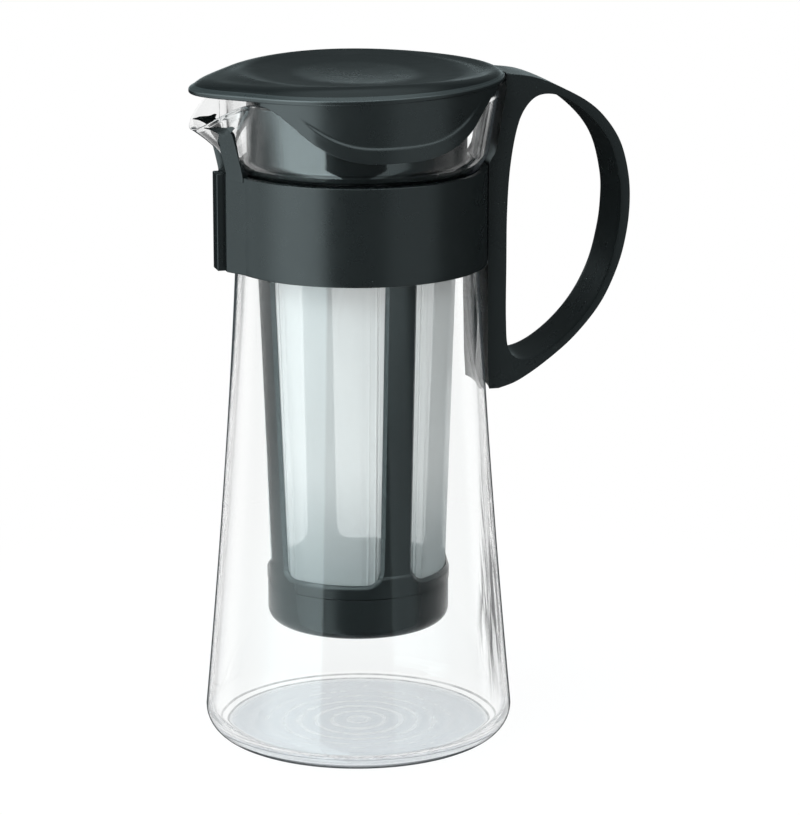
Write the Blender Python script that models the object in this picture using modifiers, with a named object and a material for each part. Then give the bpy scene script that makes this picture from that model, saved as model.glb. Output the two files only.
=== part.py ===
"""Cold brew coffee maker.

A conical glass carafe with a pulled spout stands on its flat base.  A plastic band grips the waist of
the glass.  The band is split under the spout, where two flanges are closed by a slide-on clip and two
prongs rise beside the spout.  A handle stands behind the band.  A filter with four mesh windows and a
twist-off cap hangs in the mouth, and a loose lid with two finger skirts covers it.

The origin is the middle of the base, on the table.  +Z is up, +X runs to the handle and -X to the
spout.  All lengths are in metres.
"""
import math

import bmesh
import bpy
from mathutils import Matrix, Vector

# Fits and fineness
touch_gap = 0.0003
overrun = 0.003
merge_distance = 0.00001
glass_steps = 60
plastic_steps = 48
corner_steps = 4

# Glass carafe
waist_radius = 0.0369
waist_height = 0.1790
body_spread = 0.0116
base_radius = waist_radius + body_spread
base_corner = 0.0085
base_flat_inset = 0.0100
body_curve_power = 1.4
body_rings = 6
glass_wall = 0.0020
floor_thickness = 0.0035
step_rise = 0.0084
step_flare = 0.0039
step_radius = waist_radius + step_flare
step_rings = 5
flare_rise = 0.0174
rim_flare = 0.0027
flare_rings = 4
rim_radius = step_radius + rim_flare
rim_height = waist_height + step_rise + flare_rise

# Spout pulled from the rim
spout_reach = 0.0091
spout_drop = 0.0094
spout_half_angle = math.radians(27)
spout_start = 0.0035
spout_power = 1.3
spout_plan_power = 0.9
spout_drop_power = 1.4

# Band round the waist
band_height = 0.0302
band_overlap = 0.0025
band_bottom = waist_height + band_overlap - band_height
band_wall = 0.0034
band_radius = waist_radius + band_wall
band_arc_points = 44

# Thick split ends of the band, their slot and their flanges
end_angle = math.radians(17)
end_swell = 0.0023
end_reach = band_radius + end_swell
end_face_half_width = 0.0055
slot_half_width = 0.0034
slot_depth = 0.0019
split_half_gap = 0.0002
split_inner_share = 0.5
neck_half_width = 0.0011
head_half_width = 0.0019
head_thickness = 0.0010
head_proud = 0.0004
head_reach = end_reach + head_proud

# Prongs beside the spout
prong_face_slope = 0.6
prong_outer_across = 0.0119
prong_inner_across = 0.0057
prong_tip_across = 0.0092
prong_depth = 0.0034
prong_shoulder = 0.0085
prong_shoulder_lean = 0.0026
prong_neck = 0.0125
prong_neck_lean = 0.0033
prong_height = 0.0152
prong_lean = 0.0036
prong_root = 0.0010
prong_columns = 3
spout_clearance = 0.0005

# Clip that closes the flanges
clip_side_wall = 0.0009
clip_half_width = head_half_width + touch_gap + clip_side_wall
clip_face_wall = 0.0016
clip_hook = 0.0007

# Lid
lid_overhang = 0.0018
lid_radius = rim_radius + lid_overhang
lid_lift = 0.0032
lid_underside = rim_height + lid_lift
lid_plate = 0.0030
lid_dish_height = lid_underside + lid_plate
lid_crown_rise = 0.0012
lid_crown_height = lid_dish_height + lid_crown_rise
lid_edge_fall = 0.0030
lid_edge_height = lid_crown_height - lid_edge_fall
lid_edge_thickness = 0.0018
lid_edge_width = 0.0043
lid_crown_radius = lid_radius - lid_edge_width
lid_crown_width = 0.0075
lid_dish_radius = lid_crown_radius - lid_crown_width
lid_slope_share = 0.65
lid_edge_lean = 0.0013
lid_crown_sag = 0.0015
lid_lip_width = 0.0013
beak_reach = 0.0070
beak_drop = 0.0004
beak_half_angle = math.radians(46)
beak_power = 4.0
plug_wall = 0.0014
plug_depth = 0.0085

# Finger skirts of the lid
skirt_wall = 0.0012
skirt_inset = 0.00005
skirt_depth = 0.0186
skirt_turn = math.radians(88)
skirt_half_angle = math.radians(56)
skirt_rows = 3
skirt_columns = 20
skirt_edge_power = 1.6

# Handle
handle_width = 0.0210
handle_bow = 0.0399
handle_reach = lid_radius + handle_bow
handle_drop = 0.0405
handle_bottom = band_bottom - handle_drop
handle_top_step = 0.0004
handle_top = lid_edge_height + handle_top_step
handle_root_inset = 0.0009
handle_root = waist_radius - handle_root_inset
column_clearance = 0.0010
column_top_clearance = 0.0024
lid_handle_gap = 0.0007
column_cut_steps = 40
handle_edge_round = 0.0014
handle_curve_steps = 4

# Filter frame
frame_clearance = 0.0018
body_top_radius = waist_radius - glass_wall - frame_clearance
body_taper = 0.0050
body_low_radius = body_top_radius - body_taper
collar_flare = 0.0009
collar_radius = body_top_radius + collar_flare
collar_wall = 0.0016
flange_overlap = 0.0020
flange_radius = collar_radius + flange_overlap
flange_thickness = 0.0020
filter_depth = 0.1284
ring_bottom = waist_height - filter_depth
ring_height = 0.0064
ring_proud = 0.0006
ring_radius = body_low_radius + ring_proud
ring_wall = 0.0020
ring_step = 0.0006
frame_wall = 0.0016
rib_width = 0.0108
rib_turn = math.radians(11.3)
window_count = 4
window_top_drop = 0.0070
window_top = waist_height - window_top_drop
window_sill = 0.0042
window_bottom = ring_bottom + window_sill
window_corner = 0.0050
window_corner_steps = 4

# Mesh panels
mesh_thickness = 0.0004

# Twist-off cap
cap_height = 0.0137
cap_bottom = ring_bottom - cap_height
cap_corner = 0.0040
cap_wall = 0.0016
spigot_wall = 0.0013
spigot_height = 0.0040
lug_count = 3
lug_reach = 0.0008
lug_height = 0.0012
lug_base = 0.0011
lug_half_angle = math.radians(7)
cap_turn = math.radians(25)
lug_side_gap = math.radians(1.5)
sector_steps = 6

# Colours, roughness and opacity
glass_colour = (0.95, 0.97, 0.97)
glass_roughness = 0.02
glass_alpha = 0.25
plastic_colour = (0.030, 0.036, 0.036)
plastic_roughness = 0.38
mesh_colour = (0.74, 0.75, 0.74)
mesh_roughness = 0.6
mesh_alpha = 0.8


def smooth_step(share):
    """Ease from 0 to 1 with level ends."""
    held = min(max(share, 0.0), 1.0)
    return held * held * (3.0 - 2.0 * held)


def glass_radius(height):
    """Outer radius of the turned glass, without its spout, at a height above the base corner."""
    if height <= waist_height:
        share = (height - base_corner) / (waist_height - base_corner)
        share = min(max(share, 0.0), 1.0)
        return waist_radius + body_spread * (1.0 - share) ** body_curve_power
    step_top = waist_height + step_rise
    if height <= step_top:
        return waist_radius + step_flare * smooth_step((height - waist_height) / step_rise)
    return step_radius + rim_flare * (height - step_top) / flare_rise


def spout_pull(angle, height):
    """Outward and downward pull of the spout, at an angle from the -X side and a height before the pull.

    The channel is a V: it starts as a line below the rim and is widest at the rim.
    """
    start = waist_height + spout_start
    rise = (height - start) / (rim_height - start)
    if rise <= 0.0 or abs(angle) >= spout_half_angle * rise:
        return 0.0, 0.0
    weight = math.cos(abs(angle) / (spout_half_angle * rise) * math.pi / 2.0)
    lift = rise ** spout_power
    return spout_reach * lift * weight ** spout_plan_power, spout_drop * lift * weight ** spout_drop_power


def arc_points(centre_x, centre_z, radius, start, end, steps):
    """Points along an arc in the XZ plane."""
    angles = [start + (end - start) * step / steps for step in range(steps + 1)]
    return [(centre_x + radius * math.cos(angle), centre_z + radius * math.sin(angle)) for angle in angles]


def make_material(name, colour, roughness, alpha=1.0):
    """Plain surface with the colour and gloss of one sub-part."""
    material = bpy.data.materials.new(name)
    material.use_nodes = True
    shader = material.node_tree.nodes["Principled BSDF"]
    shader.inputs["Base Color"].default_value = (*colour, 1.0)
    shader.inputs["Roughness"].default_value = roughness
    shader.inputs["Alpha"].default_value = alpha
    material.diffuse_color = (*colour, alpha)
    return material


def link(obj, collection, material=None):
    """Put an object in a collection and give it its material."""
    collection.objects.link(obj)
    if material:
        obj.data.materials.clear()
        obj.data.materials.append(material)
    return obj


def evaluated_mesh(obj):
    """Mesh of an object with its modifiers applied, in the object's own space."""
    graph = bpy.context.evaluated_depsgraph_get()
    graph.update()
    return bpy.data.meshes.new_from_object(obj.evaluated_get(graph))


def apply_modifiers(obj):
    """Replace an object's mesh by its evaluated mesh."""
    mesh = evaluated_mesh(obj)
    old = obj.data
    obj.modifiers.clear()
    obj.data = mesh
    bpy.data.meshes.remove(old)
    return obj


def turned(name, profile, collection, steps):
    """Solid turned about Z from a profile that runs from an inner end to the lower outer side."""
    mesh = bpy.data.meshes.new(name)
    points = [(x, 0.0, z) for x, z in profile]
    edges = [(index, index + 1) for index in range(len(points) - 1)]
    mesh.from_pydata(points, edges, [])
    obj = link(bpy.data.objects.new(name, mesh), collection)
    screw = obj.modifiers.new("Turn", "SCREW")
    screw.axis = "Z"
    screw.steps = steps
    screw.render_steps = steps
    screw.use_merge_vertices = True
    screw.merge_threshold = merge_distance
    screw.use_smooth_shade = False
    return apply_modifiers(obj)


def turned_ring(name, profile, collection, steps):
    """Solid turned about Z from a closed profile that stays clear of the axis."""
    return turned(name, profile + [profile[0]], collection, steps)


def clean(obj):
    """Merge doubled points and point the faces of a closed mesh outwards."""
    edit = bmesh.new()
    edit.from_mesh(obj.data)
    bmesh.ops.remove_doubles(edit, verts=edit.verts, dist=merge_distance)
    bmesh.ops.recalc_face_normals(edit, faces=edit.faces)
    edit.to_mesh(obj.data)
    edit.free()
    return obj


def flat_solid(name, outlines, thickness, collection):
    """Plate in the XY plane from closed outlines, each a list of points, centred on the plane."""
    curve = bpy.data.curves.new(name, "CURVE")
    curve.dimensions = "2D"
    curve.fill_mode = "BOTH"
    curve.extrude = thickness / 2.0
    for outline in outlines:
        spline = curve.splines.new("POLY")
        spline.points.add(len(outline) - 1)
        for point, (x, y) in zip(spline.points, outline):
            point.co = (x, y, 0.0, 1.0)
        spline.use_cyclic_u = True
    holder = bpy.data.objects.new(name, curve)
    collection.objects.link(holder)
    mesh = evaluated_mesh(holder)
    bpy.data.objects.remove(holder)
    bpy.data.curves.remove(curve)
    obj = bpy.data.objects.new(name, mesh)
    collection.objects.link(obj)
    return clean(obj)


def place(obj, matrix):
    """Move an object's mesh by a matrix, so that its origin stays where it is."""
    obj.data.transform(matrix)
    obj.data.update()
    return obj


def combine(target, tool, operation):
    """Cut or join a mesh with another, and keep the result as plain mesh."""
    boolean = target.modifiers.new("Combine", "BOOLEAN")
    boolean.operation = operation
    boolean.solver = "EXACT"
    boolean.object = tool
    return clean(apply_modifiers(target))


def hide_tool(obj):
    """Mark a cutter as a guide that isn't part of the model."""
    obj.hide_render = True
    obj.display_type = "WIRE"
    return obj


def round_edges(obj, width, segments, limit=math.radians(50)):
    """Round the sharp edges of an object."""
    bevel = obj.modifiers.new("Round", "BEVEL")
    bevel.width = width
    bevel.segments = segments
    bevel.limit_method = "ANGLE"
    bevel.angle_limit = limit
    return obj


def shade(obj):
    """Shade round faces smooth and keep the corners crisp."""
    obj.data.shade_smooth()
    obj.data.set_sharp_from_angle(angle=math.radians(35))
    return obj


def grid_shell(name, rows, thickness, offset, collection):
    """Plate from rows of points, thickened away from the axis, or towards it by a negative offset."""
    mesh = bpy.data.meshes.new(name)
    width = len(rows[0])
    points = [point for row in rows for point in row]
    faces = []
    for row in range(len(rows) - 1):
        for column in range(width - 1):
            first = row * width + column
            faces.append((first, first + 1, first + width + 1, first + width))
    mesh.from_pydata(points, [], faces)
    obj = bpy.data.objects.new(name, mesh)
    collection.objects.link(obj)
    face_outwards(mesh)
    solidify = obj.modifiers.new("Wall", "SOLIDIFY")
    solidify.thickness = thickness
    solidify.offset = offset
    solidify.use_even_offset = True
    return clean(apply_modifiers(obj))


def face_outwards(mesh):
    """Turn the faces of an open shell away from the Z axis."""
    mesh.update()
    middle = mesh.polygons[len(mesh.polygons) // 2]
    outward = Vector((middle.center.x, middle.center.y, 0.0))
    if middle.normal.dot(outward) < 0.0:
        mesh.flip_normals()


def glass_side():
    """Outer side of the glass from the base corner to just below the rim."""
    step_top = waist_height + step_rise
    body = waist_height - base_corner
    heights = [base_corner + body * index / body_rings for index in range(body_rings + 1)]
    heights += [waist_height + step_rise * index / step_rings for index in range(1, step_rings + 1)]
    heights += [step_top + flare_rise * index / flare_rings for index in range(1, flare_rings)]
    return [(glass_radius(height), height) for height in heights]


def glass_profile():
    """Glass wall from the inner floor's centre, over the rim, to the underside's centre."""
    outer = glass_side()
    inner_corner = base_corner - glass_wall
    lift = floor_thickness - glass_wall
    inner = [(radius - glass_wall, height) for radius, height in outer if height > base_corner]
    bead = glass_wall / 2.0
    rim = arc_points(rim_radius - bead, rim_height - bead, bead, math.pi, 0.0, corner_steps)
    base_centre = base_radius - base_corner
    quarter = math.pi / 2.0
    outer_corner = arc_points(base_centre, base_corner, base_corner, 0.0, -quarter, corner_steps)
    floor_corner = arc_points(base_centre, base_corner + lift, inner_corner, -quarter, 0.0, corner_steps)
    floor_edge = [(0.0, floor_thickness)]
    underside = [(base_radius - base_flat_inset, 0.0), (0.0, 0.0)]
    return floor_edge + floor_corner + inner + rim + outer[:0:-1] + outer_corner + underside


def pull_spout(obj):
    """Pull the rim outwards and down on the -X side, and split the faces that bend."""
    edit = bmesh.new()
    edit.from_mesh(obj.data)
    bent = set()
    for vertex in edit.verts:
        angle = math.atan2(vertex.co.y, -vertex.co.x)
        radius = math.hypot(vertex.co.x, vertex.co.y)
        outward, downward = spout_pull(angle, vertex.co.z)
        if radius > 0.0 and outward > 0.0:
            vertex.co.x *= (radius + outward) / radius
            vertex.co.y *= (radius + outward) / radius
            vertex.co.z -= downward
            bent.update(vertex.link_faces)
    faces = [face for face in edit.faces if face in bent]
    bmesh.ops.triangulate(edit, faces=faces, quad_method="SHORT_EDGE")
    edit.to_mesh(obj.data)
    edit.free()
    return obj


def make_glass_bore(tools):
    """Cutter with the shape of the carafe's outside, with more clearance beside the spout."""
    step_top = waist_height + step_rise
    side = []
    for radius, height in glass_side():
        side.append((radius + (touch_gap if height < step_top else spout_clearance), height))
    rim = [(0.0, rim_height), (rim_radius + spout_clearance, rim_height)]
    bore = turned("glass_bore", rim + side[::-1] + [(0.0, base_corner)], tools, glass_steps)
    return hide_tool(pull_spout(clean(bore)))


def make_carafe(parts, glass):
    """Glass carafe with its spout."""
    carafe = turned("glass_carafe", glass_profile(), parts, glass_steps)
    pull_spout(clean(carafe))
    carafe.data.materials.append(glass)
    return shade(carafe)


def band_end_outline():
    """Plan of one split end of the band, from its thick face to the split, on the +Y side."""
    slot_floor = end_reach - slot_depth
    head_root = head_reach - head_thickness
    return [
        (-end_reach, end_face_half_width),
        (-end_reach, slot_half_width),
        (-slot_floor, slot_half_width),
        (-slot_floor, neck_half_width),
        (-head_root, neck_half_width),
        (-head_root, head_half_width),
        (-head_reach, head_half_width),
        (-head_reach, split_half_gap),
    ]


def band_outline():
    """Plan of the band: a long arc, its two thick ends, and a slit between them."""
    span = math.pi - end_angle
    angles = [-span + 2.0 * span * index / band_arc_points for index in range(band_arc_points + 1)]
    arc = [(band_radius * math.cos(angle), band_radius * math.sin(angle)) for angle in angles]
    upper_end = band_end_outline()
    slit_end = waist_radius * split_inner_share
    slit = [(-slit_end, split_half_gap), (-slit_end, -split_half_gap)]
    lower_end = [(x, -y) for x, y in reversed(upper_end)]
    return arc + upper_end + slit + lower_end


def bore_profile(radius_at, bottom, top, steps):
    """Closed profile of a cutter whose outer side follows a radius."""
    heights = [top + (bottom - top) * index / steps for index in range(steps + 1)]
    side = [(radius_at(height), height) for height in heights]
    return [(0.0, top)] + side + [(0.0, bottom)]


def make_prong(side, tools):
    """Leaning plate that rises from a band end, wide at the foot and narrow beside the spout."""
    foot = band_bottom + band_height
    stations = [
        (foot - prong_root, prong_inner_across, 0.0),
        (foot + prong_shoulder / 2.0, prong_inner_across, prong_shoulder_lean / 2.0),
        (foot + prong_shoulder, prong_inner_across, prong_shoulder_lean),
        (foot + prong_neck, prong_tip_across, prong_neck_lean),
        (foot + prong_height, prong_tip_across, prong_lean),
    ]
    rows = []
    for height, inner_across, lean in stations:
        row = []
        for column in range(prong_columns + 1):
            across = inner_across + (prong_outer_across - inner_across) * column / prong_columns
            reach = end_reach - (across - end_face_half_width) * prong_face_slope + lean
            row.append((-reach, side * across, height))
        rows.append(row)
    return grid_shell("prong", rows, prong_depth, -1.0, tools)


def make_band(parts, tools, plastic):
    """Band with its bore, flanges and prongs."""
    band = flat_solid("band", [band_outline()], band_height, parts)
    place(band, Matrix.Translation((0.0, 0.0, band_bottom + band_height / 2.0)))
    for side in (-1.0, 1.0):
        combine(band, hide_tool(make_prong(side, tools)), "UNION")
    combine(band, make_glass_bore(tools), "DIFFERENCE")
    band.data.materials.append(plastic)
    return shade(band)


def make_clip(parts, plastic):
    """C-shaped slide over the two flanges."""
    inner_face = head_reach + touch_gap
    inner_half = clip_half_width - clip_side_wall
    outer_face = inner_face + clip_face_wall
    hook_outer = head_reach - head_thickness - touch_gap
    hook_inner = hook_outer - clip_hook
    hook_half = neck_half_width + touch_gap
    half = [
        (-outer_face, clip_half_width),
        (-hook_inner, clip_half_width),
        (-hook_inner, hook_half),
        (-hook_outer, hook_half),
        (-hook_outer, inner_half),
        (-inner_face, inner_half),
    ]
    outline = half + [(x, -y) for x, y in reversed(half)]
    clip = flat_solid("band_clip", [outline], band_height, parts)
    place(clip, Matrix.Translation((0.0, 0.0, band_bottom + band_height / 2.0)))
    clip.data.materials.append(plastic)
    return shade(clip)


handle_outer_shares = [
    (0.20, 1.000),
    (0.36, 0.988),
    (0.53, 0.955),
    (0.71, 0.906),
    (0.83, 0.852),
    (0.93, 0.776),
    (0.985, 0.680),
    (1.00, 0.585),
    (0.98, 0.480),
    (0.925, 0.375),
    (0.815, 0.260),
    (0.645, 0.158),
    (0.455, 0.080),
    (0.27, 0.022),
    (0.14, 0.000),
]

handle_inner_shares = [
    (0.188, 0.560),
    (0.205, 0.700),
    (0.245, 0.820),
    (0.300, 0.890),
    (0.390, 0.930),
    (0.520, 0.928),
    (0.660, 0.888),
    (0.800, 0.820),
    (0.885, 0.745),
    (0.935, 0.640),
    (0.940, 0.560),
    (0.920, 0.470),
    (0.860, 0.355),
    (0.750, 0.250),
    (0.600, 0.165),
    (0.430, 0.105),
    (0.290, 0.088),
    (0.205, 0.125),
    (0.186, 0.220),
    (0.186, 0.400),
]


def handle_point(share_x, share_z):
    """Point of the handle's side view from its shares of the reach and the height."""
    reach = handle_reach - handle_root
    return handle_root + reach * share_x, handle_bottom + (handle_top - handle_bottom) * share_z


def curve_stretch(before, start, end, after, steps):
    """Points from start towards end on a smooth curve through four points."""
    result = []
    for step in range(steps):
        t = step / steps
        weights = (
            (-t + 2.0 * t * t - t ** 3) / 2.0,
            (2.0 - 5.0 * t * t + 3.0 * t ** 3) / 2.0,
            (t + 4.0 * t * t - 3.0 * t ** 3) / 2.0,
            (-t * t + t ** 3) / 2.0,
        )
        group = (before, start, end, after)
        result.append(tuple(sum(w * p[axis] for w, p in zip(weights, group)) for axis in (0, 1)))
    return result


def smooth_loop(points, steps):
    """Closed smooth curve through points."""
    count = len(points)
    result = []
    for index in range(count):
        group = [points[(index + offset) % count] for offset in (-1, 0, 1, 2)]
        result += curve_stretch(*group, steps)
    return result


def smooth_run(points, steps):
    """Open smooth curve through points, without the corners before and after it."""
    padded = [points[0]] + points + [points[-1]]
    result = []
    for index in range(1, len(padded) - 2):
        result += curve_stretch(*padded[index - 1:index + 3], steps)
    return result + [points[-1]]


def column_cut_radius(height):
    """Radius that the handle's column keeps clear: the band, the glass below it and the lid above."""
    if height <= band_bottom + band_height:
        return max(band_radius + touch_gap, glass_radius(height) + column_clearance)
    flare = max(glass_radius(height) + column_top_clearance, band_radius + touch_gap)
    return min(flare, lid_radius + lid_handle_gap)


def make_handle(parts, tools, plastic):
    """Handle: a column behind the band and a D-shaped bow."""
    top_corner = handle_point(0.0, 1.0)
    low_corner = handle_point(0.0, 0.0)
    bow = smooth_run([handle_point(*share) for share in handle_outer_shares], handle_curve_steps)
    opening = smooth_loop([handle_point(*share) for share in handle_inner_shares], handle_curve_steps)
    handle = flat_solid("handle", [[top_corner] + bow + [low_corner], opening], handle_width, parts)
    place(handle, Matrix.Rotation(math.pi / 2.0, 4, "X"))
    top = handle_top + overrun
    profile = bore_profile(column_cut_radius, handle_bottom - overrun, top, column_cut_steps)
    cut = turned("column_cut", profile, tools, plastic_steps)
    combine(handle, hide_tool(clean(cut)), "DIFFERENCE")
    handle.data.materials.append(plastic)
    round_edges(handle, handle_edge_round, 2)
    return shade(handle)


def lid_profile():
    """Section of the lid from the middle of its top, over the edge, to the middle of its underside."""
    edge_low = lid_edge_height - lid_edge_thickness
    crown_mid = (lid_dish_radius + lid_crown_radius) / 2.0
    shoulder = (lid_crown_radius + lid_radius) / 2.0
    plug_outer = collar_radius - collar_wall - touch_gap
    plug_low = lid_underside - plug_depth
    return [
        (0.0, lid_dish_height),
        (lid_dish_radius, lid_dish_height),
        (crown_mid, lid_dish_height + lid_crown_rise * lid_slope_share),
        (lid_crown_radius, lid_crown_height),
        (shoulder, lid_edge_height + lid_edge_fall * lid_slope_share),
        (lid_radius, lid_edge_height),
        (lid_radius, edge_low),
        (lid_radius - lid_lip_width, edge_low),
        (lid_radius - lid_lip_width, lid_underside),
        (plug_outer, lid_underside),
        (plug_outer, plug_low),
        (plug_outer - plug_wall, plug_low),
        (plug_outer - plug_wall, lid_underside),
        (0.0, lid_underside),
    ]


def shape_crown(obj):
    """Sag the crown towards the spout and the handle, and lean the edge down on the spout side."""
    for vertex in obj.data.vertices:
        radius = math.hypot(vertex.co.x, vertex.co.y)
        if radius > lid_dish_radius:
            along = vertex.co.x / radius
            out = (radius - lid_dish_radius) / (lid_radius - lid_dish_radius)
            width = lid_edge_width if radius > lid_crown_radius else lid_crown_width
            near_crown = max(1.0 - abs(radius - lid_crown_radius) / width, 0.0)
            sag = lid_crown_sag * near_crown * along ** 2 if vertex.co.z > lid_edge_height else 0.0
            vertex.co.z += lid_edge_lean * along * out ** 2 - sag
    return obj


def pull_beak(obj):
    """Pull the lid's edge outwards and down over the spout."""
    for vertex in obj.data.vertices:
        angle = abs(math.atan2(vertex.co.y, -vertex.co.x)) / beak_half_angle
        radius = math.hypot(vertex.co.x, vertex.co.y)
        if angle < 1.0 and radius > lid_dish_radius:
            share = (radius - lid_dish_radius) / (lid_radius - lid_dish_radius)
            pull = math.cos(angle * math.pi / 2.0) ** beak_power * share
            vertex.co.x *= (radius + beak_reach * pull) / radius
            vertex.co.y *= (radius + beak_reach * pull) / radius
            vertex.co.z -= beak_drop * pull
    return obj


def skirt_drop(share):
    """Share of the skirt's depth at a share of its half angle, deepest in the middle."""
    return 1.0 - smooth_step(share ** skirt_edge_power)


def make_skirt(side, tools):
    """Finger skirt that hangs outside the glass on one side of the lid."""
    top = lid_edge_height - lid_edge_thickness / 2.0
    rows = []
    for row in range(skirt_rows + 1):
        points = []
        for column in range(skirt_columns + 1):
            spread = 2.0 * column / skirt_columns - 1.0
            angle = side * skirt_turn + spread * skirt_half_angle
            depth = lid_edge_thickness + (skirt_depth - lid_edge_thickness) * skirt_drop(abs(spread))
            height = top + lid_edge_lean * math.cos(angle) - depth * row / skirt_rows
            radius = lid_radius - skirt_wall
            points.append((radius * math.cos(angle), radius * math.sin(angle), height))
        rows.append(points)
    return grid_shell("skirt", rows, skirt_wall - skirt_inset, 1.0, tools)


def make_lid(parts, tools, plastic):
    """Lid with its dished top, beak, plug and two finger skirts."""
    lid = clean(turned("lid", lid_profile(), parts, glass_steps))
    pull_beak(shape_crown(lid))
    for side in (-1.0, 1.0):
        combine(lid, hide_tool(make_skirt(side, tools)), "UNION")
    lid.data.materials.append(plastic)
    return shade(lid)


def flange_seat():
    """Height at which the glass's inner step carries the filter's flange: the smooth step turned round."""
    share = (flange_radius + touch_gap + glass_wall - waist_radius) / step_flare
    held = min(max(share, 0.0), 1.0)
    return waist_height + step_rise * (0.5 - math.sin(math.asin(1.0 - 2.0 * held) / 3.0))


def frame_radius(height):
    """Outer radius of the tapered filter body."""
    low = ring_bottom + ring_height
    share = (height - low) / (flange_seat() - low)
    return body_low_radius + (body_top_radius - body_low_radius) * share


def frame_profile():
    """Closed section of the filter frame, from the inner top corner and down the outer side."""
    seat = flange_seat()
    collar_top = lid_underside - touch_gap
    ring_top = ring_bottom + ring_height
    return [
        (collar_radius - collar_wall, collar_top),
        (collar_radius, collar_top),
        (collar_radius, seat + flange_thickness),
        (flange_radius, seat + flange_thickness),
        (flange_radius, seat),
        (body_top_radius, seat),
        (body_low_radius, ring_top + ring_step),
        (ring_radius, ring_top),
        (ring_radius, ring_bottom),
        (ring_radius - ring_wall, ring_bottom),
        (ring_radius - ring_wall, ring_top),
        (body_low_radius - frame_wall, ring_top + ring_step),
        (body_top_radius - frame_wall, seat),
        (collar_radius - collar_wall, seat + flange_thickness),
    ]


def window_outline(inset):
    """Rounded window seen from outside, as across and height, shrunk by an inset."""
    bottom = window_bottom + inset
    top = window_top - inset
    corner = window_corner - inset
    half = {}
    for height in (bottom, top):
        radius = frame_radius(height)
        rib_half_angle = math.asin(rib_width / 2.0 / radius)
        half[height] = radius * math.sin(math.pi / window_count - rib_half_angle) - inset
    quarter = math.pi / 2.0
    points = arc_points(half[bottom] - corner, bottom + corner, corner, -quarter, 0.0, window_corner_steps)
    points += arc_points(half[top] - corner, top - corner, corner, 0.0, quarter, window_corner_steps)
    return points + [(-across, height) for across, height in reversed(points)]


def window_turn(index):
    """Angle of the middle of a window."""
    return rib_turn + math.pi / window_count + index * 2.0 * math.pi / window_count


def window_cutter(name, inset, index, tools):
    """Block through one window, from inside the wall to outside it."""
    length = ring_radius
    cutter = flat_solid(name, [window_outline(inset)], length, tools)
    place(cutter, Matrix.Rotation(math.pi / 2.0, 4, "X"))
    place(cutter, Matrix.Rotation(math.pi / 2.0, 4, "Z"))
    place(cutter, Matrix.Translation((length / 2.0 + overrun * 2.0, 0.0, 0.0)))
    place(cutter, Matrix.Rotation(window_turn(index), 4, "Z"))
    return hide_tool(cutter)


def sector(name, inner, outer, bottom, top, start, end, tools):
    """Block between two radii, two heights and two angles."""
    steps = sector_steps
    angles = [start + (end - start) * step / steps for step in range(steps + 1)]
    outline = [(outer * math.cos(angle), outer * math.sin(angle)) for angle in angles]
    outline += [(inner * math.cos(angle), inner * math.sin(angle)) for angle in reversed(angles)]
    block = flat_solid(name, [outline], top - bottom, tools)
    return hide_tool(place(block, Matrix.Translation((0.0, 0.0, (top + bottom) / 2.0))))


def lug_bottom():
    """Height of the underside of the cap's lugs."""
    return ring_bottom + lug_base


def cut_lug_slots(frame, tools):
    """Cut an L-shaped slot in the bottom ring for each lug of the cap."""
    inner = ring_radius - ring_wall - overrun / 2.0
    outer = ring_radius - ring_wall + lug_reach
    low = lug_bottom() - touch_gap
    high = lug_bottom() + lug_height + touch_gap
    half = lug_half_angle + lug_side_gap
    for index in range(lug_count):
        middle = index * 2.0 * math.pi / lug_count
        last = middle + cap_turn
        run = sector("lug_run", inner, outer, low, high, middle - half, last + half, tools)
        combine(frame, run, "DIFFERENCE")
        entry_low = ring_bottom - overrun
        entry = sector("lug_entry", inner, outer, entry_low, high, last - half, last + half, tools)
        combine(frame, entry, "DIFFERENCE")


def make_frame(parts, tools, plastic):
    """Filter frame: collar, flange, four ribs and the bottom ring with its slots."""
    frame = clean(turned_ring("filter_frame", frame_profile(), parts, plastic_steps))
    for index in range(window_count):
        combine(frame, window_cutter("window", 0.0, index, tools), "DIFFERENCE")
    cut_lug_slots(frame, tools)
    frame.data.materials.append(plastic)
    return shade(frame)


def make_mesh_panel(index, parts, tools, cloth):
    """Filter mesh in one window, in the middle of the frame's wall."""
    low = window_bottom - window_corner
    high = window_top + window_corner
    middle = frame_wall / 2.0
    profile = [
        (frame_radius(high) - middle - mesh_thickness / 2.0, high),
        (frame_radius(high) - middle + mesh_thickness / 2.0, high),
        (frame_radius(low) - middle + mesh_thickness / 2.0, low),
        (frame_radius(low) - middle - mesh_thickness / 2.0, low),
    ]
    panel = clean(turned_ring(f"mesh_panel_{index + 1}", profile, parts, plastic_steps))
    combine(panel, window_cutter("panel_trim", touch_gap, index, tools), "INTERSECT")
    panel.data.materials.append(cloth)
    return shade(panel)


def cap_profile():
    """Section of the cap from its inner floor, over the spigot, to the middle of its underside."""
    rim = ring_bottom - touch_gap
    spigot_outer = ring_radius - ring_wall - touch_gap
    spigot_top = rim + spigot_height
    centre_radius = ring_radius - cap_corner
    centre_height = cap_bottom + cap_corner
    quarter = math.pi / 2.0
    corner = arc_points(centre_radius, centre_height, cap_corner, 0.0, -quarter, corner_steps)
    return [
        (0.0, cap_bottom + cap_wall),
        (spigot_outer - spigot_wall, cap_bottom + cap_wall),
        (spigot_outer - spigot_wall, spigot_top),
        (spigot_outer, spigot_top),
        (spigot_outer, rim),
        (ring_radius, rim),
    ] + corner + [(0.0, cap_bottom)]


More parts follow.
